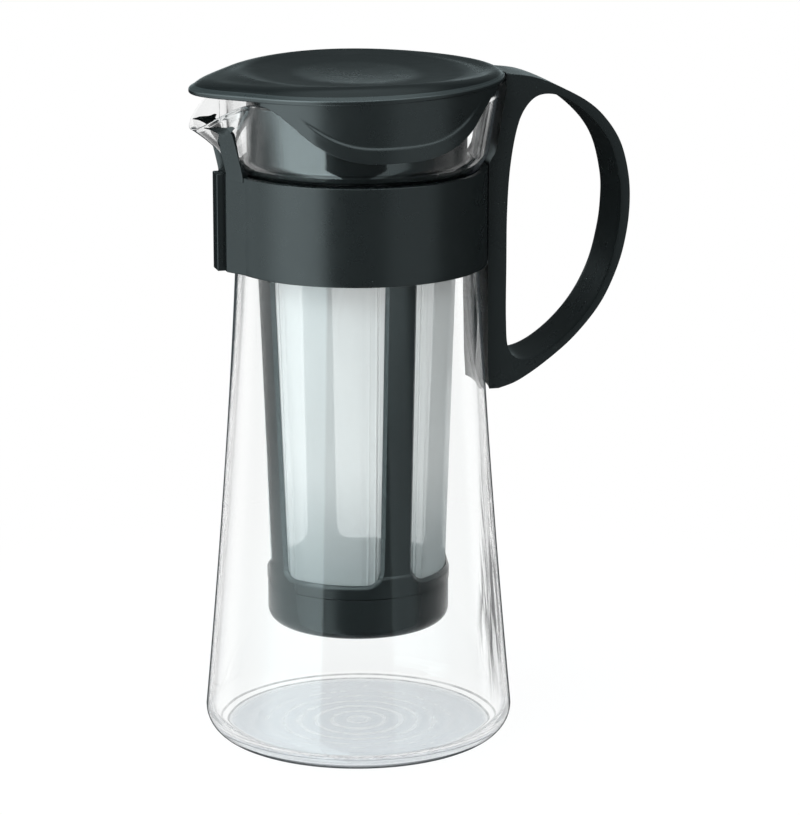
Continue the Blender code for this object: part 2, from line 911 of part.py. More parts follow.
def make_cap(parts, tools, plastic):
    """Twist-off cap with a spigot and bayonet lugs."""
    cap = clean(turned("filter_cap", cap_profile(), parts, plastic_steps))
    spigot_outer = ring_radius - ring_wall - touch_gap
    inner = spigot_outer - spigot_wall / 2.0
    outer = ring_radius - ring_wall + lug_reach - touch_gap
    low = lug_bottom()
    for index in range(lug_count):
        middle = index * 2.0 * math.pi / lug_count
        start = middle - lug_half_angle
        end = middle + lug_half_angle
        lug = sector("lug", inner, outer, low, low + lug_height, start, end, tools)
        combine(cap, lug, "UNION")
    cap.data.materials.append(plastic)
    return shade(cap)


def clear_scene():
    """Remove the objects that a new file holds."""
    for obj in list(bpy.data.objects):
        bpy.data.objects.remove(obj)


def main():
    """Build every sub-part."""
    clear_scene()
    parts = bpy.data.collections.new("cold_brew_coffee_maker")
    tools = bpy.data.collections.new("cutters")
    bpy.context.scene.collection.children.link(parts)
    bpy.context.scene.collection.children.link(tools)
    make_carafe(parts, make_material("carafe glass", glass_colour, glass_roughness, alpha=glass_alpha))
    make_band(parts, tools, make_material("band plastic", plastic_colour, plastic_roughness))
    make_clip(parts, make_material("clip plastic", plastic_colour, plastic_roughness))
    make_handle(parts, tools, make_material("handle plastic", plastic_colour, plastic_roughness))
    make_lid(parts, tools, make_material("lid plastic", plastic_colour, plastic_roughness))
    make_frame(parts, tools, make_material("frame plastic", plastic_colour, plastic_roughness))
    for index in range(window_count):
        cloth = make_material(f"mesh {index + 1}", mesh_colour, mesh_roughness, alpha=mesh_alpha)
        make_mesh_panel(index, parts, tools, cloth)
    make_cap(parts, tools, make_material("cap plastic", plastic_colour, plastic_roughness))


main()
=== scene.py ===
"""Cold brew coffee maker: a glass carafe with a strapped-on handle, a hanging mesh filter and a lid.

The pieces are made in metres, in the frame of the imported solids: the origin is the middle of the base,
+Z is up, +X runs to the handle and -X to the spout.
"""

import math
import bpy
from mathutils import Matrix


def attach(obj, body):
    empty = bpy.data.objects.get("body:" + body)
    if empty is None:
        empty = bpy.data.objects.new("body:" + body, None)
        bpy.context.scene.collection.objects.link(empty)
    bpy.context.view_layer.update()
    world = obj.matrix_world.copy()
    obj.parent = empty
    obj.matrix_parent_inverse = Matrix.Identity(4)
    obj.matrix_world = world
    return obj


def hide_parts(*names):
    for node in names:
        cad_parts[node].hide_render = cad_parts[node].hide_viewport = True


bl_info = {
    "name": "Cold brew coffee maker",
    "version": (1, 0, 0),
    "blender": (4, 5, 0),
    "location": "View3D > Sidebar > Coffee",
    "description": "Builds a glass coffee maker with its strap, handle, filter and lid",
    "category": "Add Mesh",
}

import bmesh
import bpy
from bpy.props import FloatProperty, FloatVectorProperty, PointerProperty
from mathutils import Vector

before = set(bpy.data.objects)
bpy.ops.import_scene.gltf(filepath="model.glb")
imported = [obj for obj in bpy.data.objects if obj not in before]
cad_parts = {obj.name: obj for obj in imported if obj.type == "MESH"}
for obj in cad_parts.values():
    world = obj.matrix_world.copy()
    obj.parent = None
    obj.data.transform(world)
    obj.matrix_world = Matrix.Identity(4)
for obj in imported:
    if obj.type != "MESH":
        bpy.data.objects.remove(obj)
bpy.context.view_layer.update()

quarter = math.pi / 2.0
half_panel = math.pi / 4.0
full_turn = 2.0 * math.pi
white = (1.0, 1.0, 1.0, 1.0)

# Sizes that several pieces share, in metres
merge_distance = 0.000002
gap = 0.0003
lid_side_round = 0.0006
ring_fade = 0.0012
wall_overlap = 0.0008


def length(about, value):
    """A size in metres for a panel."""
    return FloatProperty(description=about, default=value, unit="LENGTH", precision=5)


def share(about, value):
    """A plain number for a panel."""
    return FloatProperty(description=about, default=value, precision=3)


def turn(about, value):
    """An angle for a panel, given in degrees and held in radians."""
    return FloatProperty(description=about, default=math.radians(value), subtype="ANGLE")


def colour(about, value):
    """A colour for a panel."""
    return FloatVectorProperty(description=about, default=value, subtype="COLOR", min=0.0, max=1.0)


def labelled(group):
    """Name each value of a group after its own words."""
    for words, value in group.__annotations__.items():
        value.keywords["name"] = words.replace("_", " ").capitalize()
    return group


@labelled
class CarafeSizes(bpy.types.PropertyGroup):
    """Sizes of the glass."""

    waist_radius: length("Outer radius of the neck under the band", 0.0369)
    waist_height: length("Height of the narrowest ring", 0.1790)
    body_spread: length("How much wider the base is than the waist", 0.0116)
    body_power: share("How the body swells towards the base", 1.4)
    base_corner: length("Radius of the rounded base edge", 0.0085)
    wall: length("Thickness of the glass wall", 0.0020)
    floor: length("Thickness of the glass floor", 0.0035)
    push_up: length("Rise of the underside in the middle", 0.0004)
    foot_radius: length("Radius of the ring that the carafe stands on", 0.0375)
    ripple: length("Height of the rings left in the floor by the mould", 0.00003)
    ripple_pitch: length("Distance between two rings in the floor", 0.0062)
    step_rise: length("Height of the step above the waist", 0.0084)
    step_flare: length("How much wider the mouth is than the waist", 0.0039)
    flare_rise: length("Height of the flared mouth above the step", 0.0174)
    rim_flare: length("How much the mouth widens up to the rim", 0.0027)
    spout_reach: length("How far the rim is pulled outwards", 0.0091)
    spout_drop: length("How far the rim is pulled down", 0.0094)
    spout_half_angle: turn("Half the width of the spout at the rim", 27)
    spout_start: length("Height above the waist where the spout begins", 0.0035)


@labelled
class BandSizes(bpy.types.PropertyGroup):
    """Sizes of the band, its prongs and its clip."""

    height: length("Height of the band", 0.0302)
    overlap: length("How far the band stands above the waist", 0.0025)
    wall: length("Thickness at the waist", 0.0034)
    edge_round: length("Radius of the band's edges", 0.0005)
    end_angle: turn("Angle from the spout where the thick ends start", 17)
    end_swell: length("How far the ends stand proud of the band", 0.0023)
    end_face_half_width: length("Half width between the ends' faces", 0.0055)
    slot_half_width: length("Half width of the clip's slot", 0.0034)
    slot_depth: length("Depth of the clip's slot", 0.0019)
    head_half_width: length("Half width over both flange heads", 0.0019)
    neck_half_width: length("Half width over both flange necks", 0.0011)
    head_thickness: length("Thickness of the flange heads", 0.0010)
    head_proud: length("How far the heads stand out of the slot", 0.0004)
    split_half_gap: length("Half of the slit between the ends", 0.0002)
    clip_side_wall: length("Wall beside the flange heads", 0.0009)
    clip_face_wall: length("Wall in front of the flange heads", 0.0016)
    clip_hook: length("Thickness of the clip's hooks", 0.0007)
    clip_round: length("Radius of the clip's edges", 0.00035)
    prong_face_slope: share("How the prong's face turns back from the spout", 0.6)
    prong_outer: length("Distance from the middle to the prong's outer edge", 0.0119)
    prong_inner: length("Distance from the middle to the prong's inner edge", 0.0057)
    prong_tip: length("Distance from the middle to the tip's inner edge", 0.0090)
    prong_height: length("Height of the prongs above the band", 0.0150)
    prong_shoulder: length("Height where the inner edge starts to slant", 0.0085)
    prong_lean: length("How far the tip leans outwards", 0.0036)
    prong_depth: length("Thickness of the prong at its foot", 0.0024)
    prong_root: length("How far the prong reaches down into the band", 0.0015)
    prong_dome: length("Height of the prong's rounded tip", 0.0012)
    prong_round: length("Radius of the prong's edges", 0.0004)


@labelled
class HandleSizes(bpy.types.PropertyGroup):
    """Sizes of the handle."""

    width: length("Width of the handle", 0.0210)
    bow: length("Reach of the bow beyond the lid", 0.0399)
    drop: length("How far the handle hangs below the band", 0.0405)
    top_step: length("Height of the handle above the lid's edge", 0.0004)
    root_inset: length("How far inside the waist the outline starts", 0.0009)
    column_gap: length("Gap between the column and the glass below the band", 0.0010)
    column_top_gap: length("Gap between the column and the mouth", 0.0024)
    lid_gap: length("Gap between the column and the lid", 0.0007)
    edge_round: length("Radius of the handle's edges", 0.0016)


@labelled
class LidSizes(bpy.types.PropertyGroup):
    """Sizes of the lid."""

    overhang: length("How far the lid is wider than the rim", 0.0018)
    lift: length("Height of the underside above the rim", 0.0032)
    plate: length("Thickness of the dished top", 0.0030)
    crown_rise: length("Height of the crown above the dish", 0.0012)
    edge_fall: length("Height of the crown above the edge", 0.0030)
    edge_thickness: length("Thickness of the edge", 0.0018)
    edge_width: length("Width from the crown to the edge", 0.0062)
    crown_width: length("Width from the dish to the crown", 0.0056)
    hollow: length("How far the dish sinks in the middle", 0.0010)
    edge_lean: length("How far the edge falls towards the spout", 0.0013)
    crown_sag: length("How far the crown sags at both ends", 0.0015)
    lip_inset: length("How far the lip lies inside the edge", 0.0013)
    beak_reach: length("How far the beak stands out over the spout", 0.0070)
    beak_drop: length("How far the beak falls", 0.0004)
    beak_half_angle: turn("Half the width of the beak", 46)
    plug_wall: length("Wall of the ring inside the filter's collar", 0.0014)
    plug_depth: length("Depth of the ring inside the filter's collar", 0.0085)
    plug_round: length("Radius of the plug's and the lip's edges", 0.0003)
    skirt_wall: length("Wall of the finger skirts", 0.0012)
    skirt_inset: length("How far the skirts lie inside the lid's edge", 0.0003)
    skirt_depth: length("How far the skirts hang down", 0.0186)
    skirt_turn: turn("Angle of the middle of a skirt from the handle", 88)
    skirt_half_angle: turn("Half the width of a skirt", 56)
    skirt_round: length("Radius of the skirts' edges", 0.0003)
    ledge_rise: length("Height of the finger ledge above the skirt's edge", 0.0042)
    ledge_proud: length("How far the finger ledge stands out", 0.0007)


@labelled
class FilterSizes(bpy.types.PropertyGroup):
    """Sizes of the filter."""

    clearance: length("Gap between the filter and the neck of the glass", 0.0018)
    taper: length("How much narrower the filter is at its foot", 0.0050)
    collar_flare: length("How much wider the collar is than the body", 0.0009)
    collar_wall: length("Wall of the collar", 0.0016)
    flange_overlap: length("How far the flange reaches onto the glass", 0.0020)
    flange_thickness: length("Thickness of the flange", 0.0020)
    depth: length("Distance from the waist to the bottom ring", 0.1284)
    ring_height: length("Height of the bottom ring", 0.0064)
    ring_proud: length("How far the ring stands out of the body", 0.0006)
    window_slope: length("Width of the sloped ledge round the windows", 0.0011)
    window_set: length("Depth of the sloped ledge round the windows", 0.0009)
    wall: length("Wall of the frame", 0.0016)
    rib_width: length("Width of a rib", 0.0108)
    rib_turn: turn("Angle of the first rib from the handle", 11.3)
    window_drop: length("Distance from the waist to the windows", 0.0070)
    window_sill: length("Height of the windows above the ring's foot", 0.0042)
    window_corner: length("Radius of the windows' corners", 0.0050)
    mesh_wall: length("Thickness of the filter mesh", 0.0004)
    mesh_overlap: length("How far the mesh reaches under the frame", 0.0002)
    cap_height: length("Height of the twist-off cap", 0.0137)
    cap_corner: length("Radius of the cap's bottom edge", 0.0040)
    cap_wall: length("Wall of the cap's floor", 0.0016)
    spigot_wall: length("Wall of the cap's spigot", 0.0013)
    spigot_height: length("Height of the cap's spigot", 0.0040)


@labelled
class Finishes(bpy.types.PropertyGroup):
    """Colours and gloss of the finishes."""

    plastic: colour("Charcoal black of the moulded pieces", (0.0085, 0.0105, 0.0108))
    plastic_roughness: share("Roughness of the moulded pieces", 0.27)
    grain: share("Strength of the fine grain of the mould", 0.10)
    glass: colour("Tint of the glass seen straight on", (0.990, 0.996, 0.994))
    # Painted shade: the glass is darkened towards this colour where it is seen edge on, in place of the dark
    # edges that refraction gives
    glass_edge_shade: colour("Tint of the glass seen edge on", (0.42, 0.43, 0.45))
    bend: share("How strongly the glass bends light", 1.20)
    foot_shade: share("How much the pressed foot greys what is behind it", 0.50)
    gauze: colour("Colour of the filter mesh", (0.69, 0.675, 0.67))
    thread_pitch: length("Distance between two threads of the mesh", 0.00034)


@labelled
class StageSizes(bpy.types.PropertyGroup):
    """Camera and studio light."""

    azimuth: turn("Turn of the camera from the spout-and-handle plane", 15)
    pitch: turn("How far the camera looks down", 13.755)
    distance: length("Level distance from the camera to the object's axis", 1.0953)
    camera_height: length("Height of the camera above the table", 0.3729)
    camera_side: length("Shift of the camera to its right", 0.01325)
    focal_length: share("Lens of the camera in millimetres", 162.0)
    table_radius: length("Radius of the table", 1.2)
    table_drop: length("How far the table lies below the carafe's foot", 0.0002)
    key: share("Brightness of the wide light on the left", 3.0)
    side: share("Brightness of the left light's far end", 1.1)
    fill: share("Brightness of the light on the right", 0.55)
    top: share("Brightness of the light overhead", 0.7)
    room: share("Brightness of the dark room", 0.02)
    wall_light: share("Brightness of the wall behind, above the table's edge", 0.10)
    wall_foot: share("Brightness of the wall just above the table's edge", 0.9)
    front: share("Brightness of the pale card in front", 0.10)
    strip: share("Brightness of the raised strip light in front", 3.0)
    soft_fill: share("Brightness of the even light that fills matt surfaces", 0.55)


class Wire:
    """An output of a node tree. Sums and products of wires add Math nodes."""

    def __init__(self, tree, socket):
        self.tree = tree
        self.socket = socket

    def work(self, operation, *values):
        """Math node on these values."""
        return node(self.tree, "ShaderNodeMath", {"operation": operation}, dict(enumerate(values)))

    def __add__(self, other):
        return self.work("ADD", self, other)

    def __sub__(self, other):
        return self.work("SUBTRACT", self, other)

    def __rsub__(self, other):
        return self.work("SUBTRACT", other, self)

    def __mul__(self, other):
        return self.work("MULTIPLY", self, other)

    __radd__ = __add__
    __rmul__ = __mul__

    def root(self):
        """Square root of the value."""
        return self.work("POWER", self, 0.5)

    def over(self, limit):
        """1 where the value is over a limit."""
        return self.work("GREATER_THAN", self, limit)

    def between(self, low, high, soft):
        """1 from low to high, with soft edges."""
        return ramp(self, low - soft, low + soft) * (1.0 - ramp(self, high - soft, high + soft))

    def sine(self):
        """Sine of the value."""
        return self.work("SINE", self)

    def size(self):
        """The value without its sign."""
        return self.work("ABSOLUTE", self)

    def largest(self, other):
        """The larger of two values."""
        return self.work("MAXIMUM", self, other)


def node(tree, kind, settings=None, values=None, output=0):
    """Add a node, set it up, fill or link its inputs, and return one of its outputs."""
    new = tree.nodes.new(kind)
    for name, value in (settings or {}).items():
        setattr(new, name, value)
    for name, value in (values or {}).items():
        if isinstance(value, Wire):
            tree.links.new(value.socket, new.inputs[name])
        else:
            new.inputs[name].default_value = value
    return Wire(tree, new.outputs[output])


def ramp(value, low, high):
    """Ease from 0 at low to 1 at high."""
    settings = {"interpolation_type": "SMOOTHSTEP"}
    names = {"Value": value, "From Min": low, "From Max": high, "To Min": 0.0, "To Max": 1.0}
    return node(value.tree, "ShaderNodeMapRange", settings, names)


def blend_colours(factor, *colours):
    """Mix two colours by a factor."""
    first, second = [item if isinstance(item, Wire) else (*item, 1.0) for item in colours]
    names = {0: factor, 6: first, 7: second}
    return node(factor.tree, "ShaderNodeMix", {"data_type": "RGBA"}, names, output=2)


def blend_shaders(factor, first, second):
    """Mix two shaders by a factor."""
    return node(factor.tree, "ShaderNodeMixShader", values={0: factor, 1: first, 2: second})


def place_of(tree):
    """Object coordinates, in metres."""
    return node(tree, "ShaderNodeTexCoord", output="Object")


def parts_of(vector):
    """The three parts of a vector."""
    split = node(vector.tree, "ShaderNodeSeparateXYZ", values={0: vector}).socket.node
    return [Wire(vector.tree, output) for output in split.outputs]


def ray(tree, fact):
    """One fact about the ray that meets the surface."""
    return node(tree, "ShaderNodeLightPath", output=fact)


def noise(place, scale, detail, rough=0.5):
    """Cloudy pattern from 0 to 1."""
    names = {"Vector": place, "Scale": scale, "Detail": detail, "Roughness": rough}
    return node(place.tree, "ShaderNodeTexNoise", values=names)


def bump(height, strength, depth):
    """Surface that rises with a height value."""
    names = {"Height": height, "Strength": strength, "Distance": depth}
    return node(height.tree, "ShaderNodeBump", values=names)


def clear_tree(owner, kind):
    """Empty the nodes of a material or world and give it an output."""
    owner.use_nodes = True
    owner.node_tree.nodes.clear()
    owner.node_tree.nodes.new(kind)
    return owner.node_tree


def new_finish(name):
    """Empty material with its nodes."""
    finish = bpy.data.materials.new(name)
    return finish, clear_tree(finish, "ShaderNodeOutputMaterial")


def show(shader):
    """Link a shader to the output."""
    output = next(item for item in shader.tree.nodes if item.type in ("OUTPUT_MATERIAL", "OUTPUT_WORLD"))
    shader.tree.links.new(shader.socket, output.inputs["Surface"])


def satin_plastic(name, tone_and_painted_light=1.0, gloss=0.0, shine=0.5, grain_share=1.0, dish=False):
    """Satin moulded plastic with fine grain and faint handling marks, duller in the lid's dish."""
    finishes = bpy.context.scene.coffee_finishes
    finish, tree = new_finish(name)
    place = place_of(tree)
    cloud = noise(place, 45.0, 3.0)
    grain = noise(place, 2600.0, 2.0)
    marks = ramp(noise(place, 160.0, 4.0, 0.65), 0.35, 0.75)
    tone_spread = 0.12
    # Tone scales the plastic's colour: the paler copies on the lid's edge and the window ledges are painted
    # highlights, the darker copy on the handle is painted shade
    dark = [part * tone_and_painted_light * (1.0 - tone_spread) for part in finishes.plastic]
    pale = [part * tone_and_painted_light * (1.0 + tone_spread) for part in finishes.plastic]
    rough = finishes.plastic_roughness - gloss + 0.07 * (cloud - 0.5) + 0.05 * marks
    if dish:
        x, y, z = parts_of(place)
        out = (x * x * 1.6 + y * y).root()
        rough = rough + 0.22 * out.between(0.024, 0.041, 0.004)
    show(node(tree, "ShaderNodeBsdfPrincipled", values={
        "Base Color": blend_colours(cloud, dark, pale),
        "Roughness": rough,
        "IOR": 1.46,
        "Specular IOR Level": shine,
        "Normal": bump(grain, finishes.grain * grain_share, 0.0001),
    }))
    return finish


def clear_glass():
    """Clear glass with painted dark edges and streaks, and a foot with pressed rings; lamps shine through it.
    """
    finishes = bpy.context.scene.coffee_finishes
    finish, tree = new_finish("clear glass")
    place = place_of(tree)
    x, y, z = parts_of(place)
    facing = node(tree, "ShaderNodeLayerWeight", values={"Blend": 0.5}, output="Facing")

    # Thick glass with painted dark streaks on the handle side, in place of the dark lines that light bent in
    # the thick glass shows there
    upright = (1.0, 1.0, 0.05)
    stretched = node(tree, "ShaderNodeVectorMath", {"operation": "MULTIPLY"}, {0: place, 1: upright})
    painted_dark_streak = ramp(facing - 3.6 * (z - 0.042), 0.55, 0.62) * ramp(x, 0.015, 0.035)
    painted_dark_streak = painted_dark_streak * z.between(0.022, 0.110, 0.012) * ramp(noise(stretched, 520.0, 2.0), 0.38, 0.56)
    # Painted shade: the glass's colour darkens as it is seen edge on
    pale = blend_colours(ramp(facing, 0.62, 0.95), tuple(finishes.glass), tuple(finishes.glass_edge_shade))
    thick = node(tree, "ShaderNodeBsdfPrincipled", values={
        "Base Color": blend_colours(painted_dark_streak, pale, (0.02, 0.02, 0.022)),
        "Roughness": 0.0,
        "IOR": finishes.bend,
        "Transmission Weight": 1.0,
        "Coat Weight": 0.28 + 0.72 * ramp(z, 0.10, 0.19) * ramp(x, 0.020, -0.005),
        "Coat Roughness": 0.0,
        "Coat IOR": 1.55,
        "Normal": bump(noise(place, 38.0, 1.0), 0.25, 0.0006),
    })

    # Pressed foot with its rings, and painted dark lines round its corner, in place of the dark lines that
    # the bent light shows there
    radius = (x * x + y * y).root()
    cloud = noise(place, 150.0, 4.0, 0.6)
    ring_pitch = 0.0052
    rings = (radius * (full_turn / ring_pitch) + 1.6 * cloud).sine()
    rings = rings * (0.35 + 0.65 * ramp(radius, 0.040, 0.012)) * ramp(radius, 0.0010, 0.0030)
    foot = finishes.foot_shade * (0.82 + 0.36 * cloud + 0.16 * rings) * ramp(radius, 0.0435, 0.0395)
    rounded = ramp(radius, 0.0405, 0.0430)
    outline = ramp(facing, 0.36, 0.76) * rounded * 0.95
    inner_line = radius.between(0.0418, 0.0427, 0.0003) * (0.05 + 0.9 * cloud)
    outer_line = radius.between(0.0448, 0.0455, 0.0003) * cloud
    corner = outline.largest(inner_line + outer_line)

    # Thin see-through skin under the foot, where the glass is seen edge on, and for light held inside it;
    # edge on, its dark colour draws a painted dark outline
    under = ramp(z, 0.0031, 0.0027)
    back = node(tree, "ShaderNodeNewGeometry", output="Backfacing")
    held = 0.35 + 0.65 * ramp(z, 0.180, 0.188)
    side_on = facing + 0.09 * ramp(z, 0.085, 0.150)
    grazing = ramp(side_on, 0.78, 0.90).largest(back * ramp(facing, 0.38, 0.46) * held)
    line = 0.06 + 0.90 * ramp(side_on, 0.79, 0.93)
    thin = node(tree, "ShaderNodeBsdfPrincipled", values={
        "Base Color": blend_colours(rounded.largest(1.0 - under), (0.42, 0.45, 0.51), (0.06, 0.065, 0.07)),
        "Roughness": 0.25,
        "Alpha": (under * (foot + corner)).largest((1.0 - under) * line),
    })
    body = blend_shaders(under.largest(grazing), thick, thin)
    unseen = ray(tree, "Is Shadow Ray").largest(ray(tree, "Is Diffuse Ray"))
    clear = node(tree, "ShaderNodeBsdfTransparent", values={"Color": (0.95, 0.96, 0.96, 1.0)})
    show(blend_shaders(unseen, body, clear))
    return finish


def woven_mesh(pot):
    """Fine net: threads that pass over and under, with open pores between them."""
    finishes = bpy.context.scene.coffee_finishes
    finish, tree = new_finish("woven mesh")
    place = place_of(tree)
    x, y, z = parts_of(place)
    waves = full_turn / finishes.thread_pitch
    around = x.work("ARCTAN2", y, x) * (pot.foot_radius * waves)
    thread = around.sine().size().largest((z * waves).sine().size())
    weave = ramp(thread, 0.35, 0.95)
    dark = [part * 0.86 for part in finishes.gauze]
    pale = [min(part * 1.10, 1.0) for part in finishes.gauze]
    woven = blend_colours(0.65 * weave + 0.35 * noise(place, 60.0, 3.0), dark, pale)
    # Painted shade: the mesh's colour darkens towards the bottom, for the dark inside of the filter seen
    # through it
    show(node(tree, "ShaderNodeBsdfPrincipled", values={
        "Base Color": blend_colours(0.8 * ramp(z, 0.095, 0.052), woven, (0.30, 0.33, 0.335)),
        "Roughness": 0.55,
        "Alpha": 0.44 + 0.20 * weave,
        "Normal": bump(weave, 0.3, 0.0001),
    }))
    return finish


def smooth_step(value):
    """Ease from 0 to 1 with level ends."""
    held = min(max(value, 0.0), 1.0)
    return held * held * (3.0 - 2.0 * held)


class Pot:
    """The sizes of every piece, with the heights and radii that follow from them."""

    def __init__(self, scene):
        self.glass = glass = scene.carafe_sizes
        self.band = band = scene.band_sizes
        self.handle = scene.handle_sizes
        self.lid = lid = scene.lid_sizes
        self.sieve = sieve = scene.filter_sizes
        self.step_top = glass.waist_height + glass.step_rise
        self.rim_height = self.step_top + glass.flare_rise
        self.mouth_radius = glass.waist_radius + glass.step_flare
        self.rim_radius = self.mouth_radius + glass.rim_flare
        self.band_radius = glass.waist_radius + band.wall
        self.band_top = glass.waist_height + band.overlap
        self.end_reach = self.band_radius + band.end_swell
        self.head_reach = self.end_reach + band.head_proud
        self.lid_radius = self.rim_radius + lid.overhang
        self.crown_radius = self.lid_radius - lid.edge_width
        self.dish_radius = self.crown_radius - lid.crown_width
        self.lid_underside = self.rim_height + lid.lift
        self.lid_top = self.lid_underside + lid.plate
        self.lid_edge = self.lid_top + lid.crown_rise - lid.edge_fall
        self.body_radius = glass.waist_radius - glass.wall - sieve.clearance
        self.foot_radius = self.body_radius - sieve.taper
        self.ring_radius = self.foot_radius + sieve.ring_proud
        self.collar_radius = self.body_radius + sieve.collar_flare
        self.collar_bore = self.collar_radius - sieve.collar_wall
        self.flange_radius = self.collar_radius + sieve.flange_overlap
        self.ring_bottom = glass.waist_height - sieve.depth
        self.ring_top = self.ring_bottom + sieve.ring_height
        up = (self.flange_radius + gap + glass.wall - glass.waist_radius) / glass.step_flare
        eased = 0.5 - math.sin(math.asin(1.0 - 2.0 * up) / 3.0)
        self.flange_seat = glass.waist_height + glass.step_rise * eased

    def glass_radius(self, height):
        """Outer radius of the glass at a height, without its spout."""
        glass = self.glass
        if height <= glass.waist_height:
            up = (height - glass.base_corner) / (glass.waist_height - glass.base_corner)
            return glass.waist_radius + glass.body_spread * (1.0 - min(max(up, 0.0), 1.0)) ** glass.body_power
        if height <= self.step_top:
            up = smooth_step((height - glass.waist_height) / glass.step_rise)
            return glass.waist_radius + glass.step_flare * up
        return self.mouth_radius + glass.rim_flare * (height - self.step_top) / glass.flare_rise

    def spout_pull(self, angle, height):
        """Outward and downward pull of the spout, at an angle from the -X side."""
        glass = self.glass
        start = glass.waist_height + glass.spout_start
        rise = (height - start) / (self.rim_height - start)
        if rise <= 0.0 or abs(angle) >= glass.spout_half_angle * rise:
            return 0.0, 0.0
        weight = math.cos(abs(angle) / (glass.spout_half_angle * rise) * quarter)
        lift = rise ** 1.3
        return glass.spout_reach * lift * weight ** 0.9, glass.spout_drop * lift * weight ** 1.4

    def bore_radius(self, corner):
        """Distance from the axis at which a point clears the glass and its spout."""
        angle = spout_angle(corner)
        source = corner.co.z
        for attempt in range(12):
            source = min(corner.co.z + self.spout_pull(angle, source)[1], self.rim_height)
        return self.glass_radius(source) + self.spout_pull(angle, source)[0] + gap

    def column_radius(self, height):
        """Radius that the handle's column keeps clear of."""
        band = self.band_radius + gap
        if height <= self.band_top:
            return max(band, self.glass_radius(height) + self.handle.column_gap)
        flare = max(self.glass_radius(height) + self.handle.column_top_gap, band)
        return min(flare, self.lid_radius + self.handle.lid_gap)

    def frame_radius(self, height):
        """Outer radius of the tapered body of the filter, with the ring at its foot."""
        up = (height - self.ring_top) / (self.flange_seat - self.ring_top)
        ring = 1.0 - smooth_step((height - self.ring_top) / ring_fade + 0.5)
        return self.foot_radius + self.sieve.taper * max(up, 0.0) + self.sieve.ring_proud * ring


def axis_distance(corner):
    """Distance of a point from the axis."""
    return math.hypot(corner.co.x, corner.co.y)


def spout_angle(corner):
    """Angle of a point from the -X side."""
    return math.atan2(corner.co.y, -corner.co.x)


def move_out(corner, radius):
    """Move a point level with the table to a distance from the axis."""
    scale = radius / axis_distance(corner)
    corner.co.x *= scale
    corner.co.y *= scale


def arc(centre_x, centre_z, radius, start, end, steps):
    """Points along an arc."""
    angles = [start + (end - start) * step / steps for step in range(steps + 1)]
    return [(centre_x + radius * math.cos(angle), centre_z + radius * math.sin(angle)) for angle in angles]


def round_corners(points, radius, steps, closed=False):
    """Outline with its corners rounded by arcs, which stay within half of the shorter side."""
    corners = [Vector(point) for point in points]
    result = []
    count = len(corners)
    for index, corner in enumerate(corners):
        if not closed and index in (0, count - 1):
            result.append(tuple(corner))
            continue
        before = corners[index - 1] - corner
        after = corners[(index + 1) % count] - corner
        half = before.angle(after) / 2.0
        if half > quarter * 0.97:
            result.append(tuple(corner))
            continue
        held = min(radius / math.tan(half), 0.48 * before.length, 0.48 * after.length)
        bend = held * math.tan(half)
        centre = corner + (before.normalized() + after.normalized()).normalized() * (bend / math.sin(half))
        first = corner + before.normalized() * held - centre
        last = corner + after.normalized() * held - centre
        for step in range(steps + 1):
            result.append(tuple(centre + first.slerp(last, step / steps).normalized() * bend))
    return result


def tidy(edit):
    """Merge doubled points, then turn the faces outwards."""
    bmesh.ops.remove_doubles(edit, verts=edit.verts, dist=merge_distance)
    bmesh.ops.recalc_face_normals(edit, faces=edit.faces)


def turned(edit, profile, steps, closed=False):
    """Add a shape turned about Z from a profile."""
    corners = [edit.verts.new((x, 0.0, z)) for x, z in profile]
    pairs = list(zip(corners, corners[1:])) + ([(corners[-1], corners[0])] if closed else [])
    edges = [edit.edges.new(pair) for pair in pairs]
    bmesh.ops.spin(
        edit, geom=corners + edges, cent=(0, 0, 0), axis=(0, 0, 1), angle=full_turn, steps=steps,
        use_merge=True,
    )
    tidy(edit)


def filled(edit, *loops, depth=0.0):
    """Add closed loops of X and Z at a depth in Y and fill the face between them; returns the last loop."""
    edges = []
    for loop in loops:
        corners = [edit.verts.new((x, depth, z)) for x, z in loop]
        edges += [edit.edges.new((corners[index - 1], corners[index])) for index in range(len(corners))]
    bmesh.ops.triangle_fill(edit, edges=edges, use_beauty=True, use_dissolve=False)
    return corners


def draw_out(edit, faces, step, layers):
    """Draw faces out in layers, and keep only the first and the last of them."""
    front = faces
    for layer in range(layers):
        made = bmesh.ops.extrude_face_region(edit, geom=front)["geom"]
        corners = [item for item in made if isinstance(item, bmesh.types.BMVert)]
        bmesh.ops.translate(edit, verts=corners, vec=step)
        if layer:
            bmesh.ops.delete(edit, geom=front, context="FACES_ONLY")
        front = [item for item in made if isinstance(item, bmesh.types.BMFace)]


def raised(edit, plan, low, high, layers):
    """Raise a plan from one height to another in layers."""
    face = edit.faces.new([edit.verts.new((x, y, low)) for x, y in plan])
    draw_out(edit, [face], (0.0, 0.0, (high - low) / layers), layers)


def bent_sheet(edit, across, up, shape):
    """Add a grid, place its points by a function of their two shares from -1 to 1, and face it outwards."""
    corners = bmesh.ops.create_grid(edit, x_segments=across, y_segments=up, size=1.0)["verts"]
    for corner in corners:
        corner.co = shape(corner.co.x, corner.co.y)
    faces = list(dict.fromkeys(face for corner in corners for face in corner.link_faces))
    face_outwards(edit, faces)
    return corners, faces


def face_outwards(edit, faces):
    """Turn the faces of a sheet away from the axis."""
    bmesh.ops.recalc_face_normals(edit, faces=faces)
    middle = faces[0].calc_center_median()
    if faces[0].normal.dot(Vector((middle.x, middle.y, 0.0))) < 0.0:
        bmesh.ops.reverse_faces(edit, faces=faces)


def cut(edit, spot, across):
    """Cut a shape with a plane."""
    geometry = edit.verts[:] + edit.edges[:] + edit.faces[:]
    bmesh.ops.bisect_plane(edit, geom=geometry, dist=1e-7, plane_co=spot, plane_no=across)


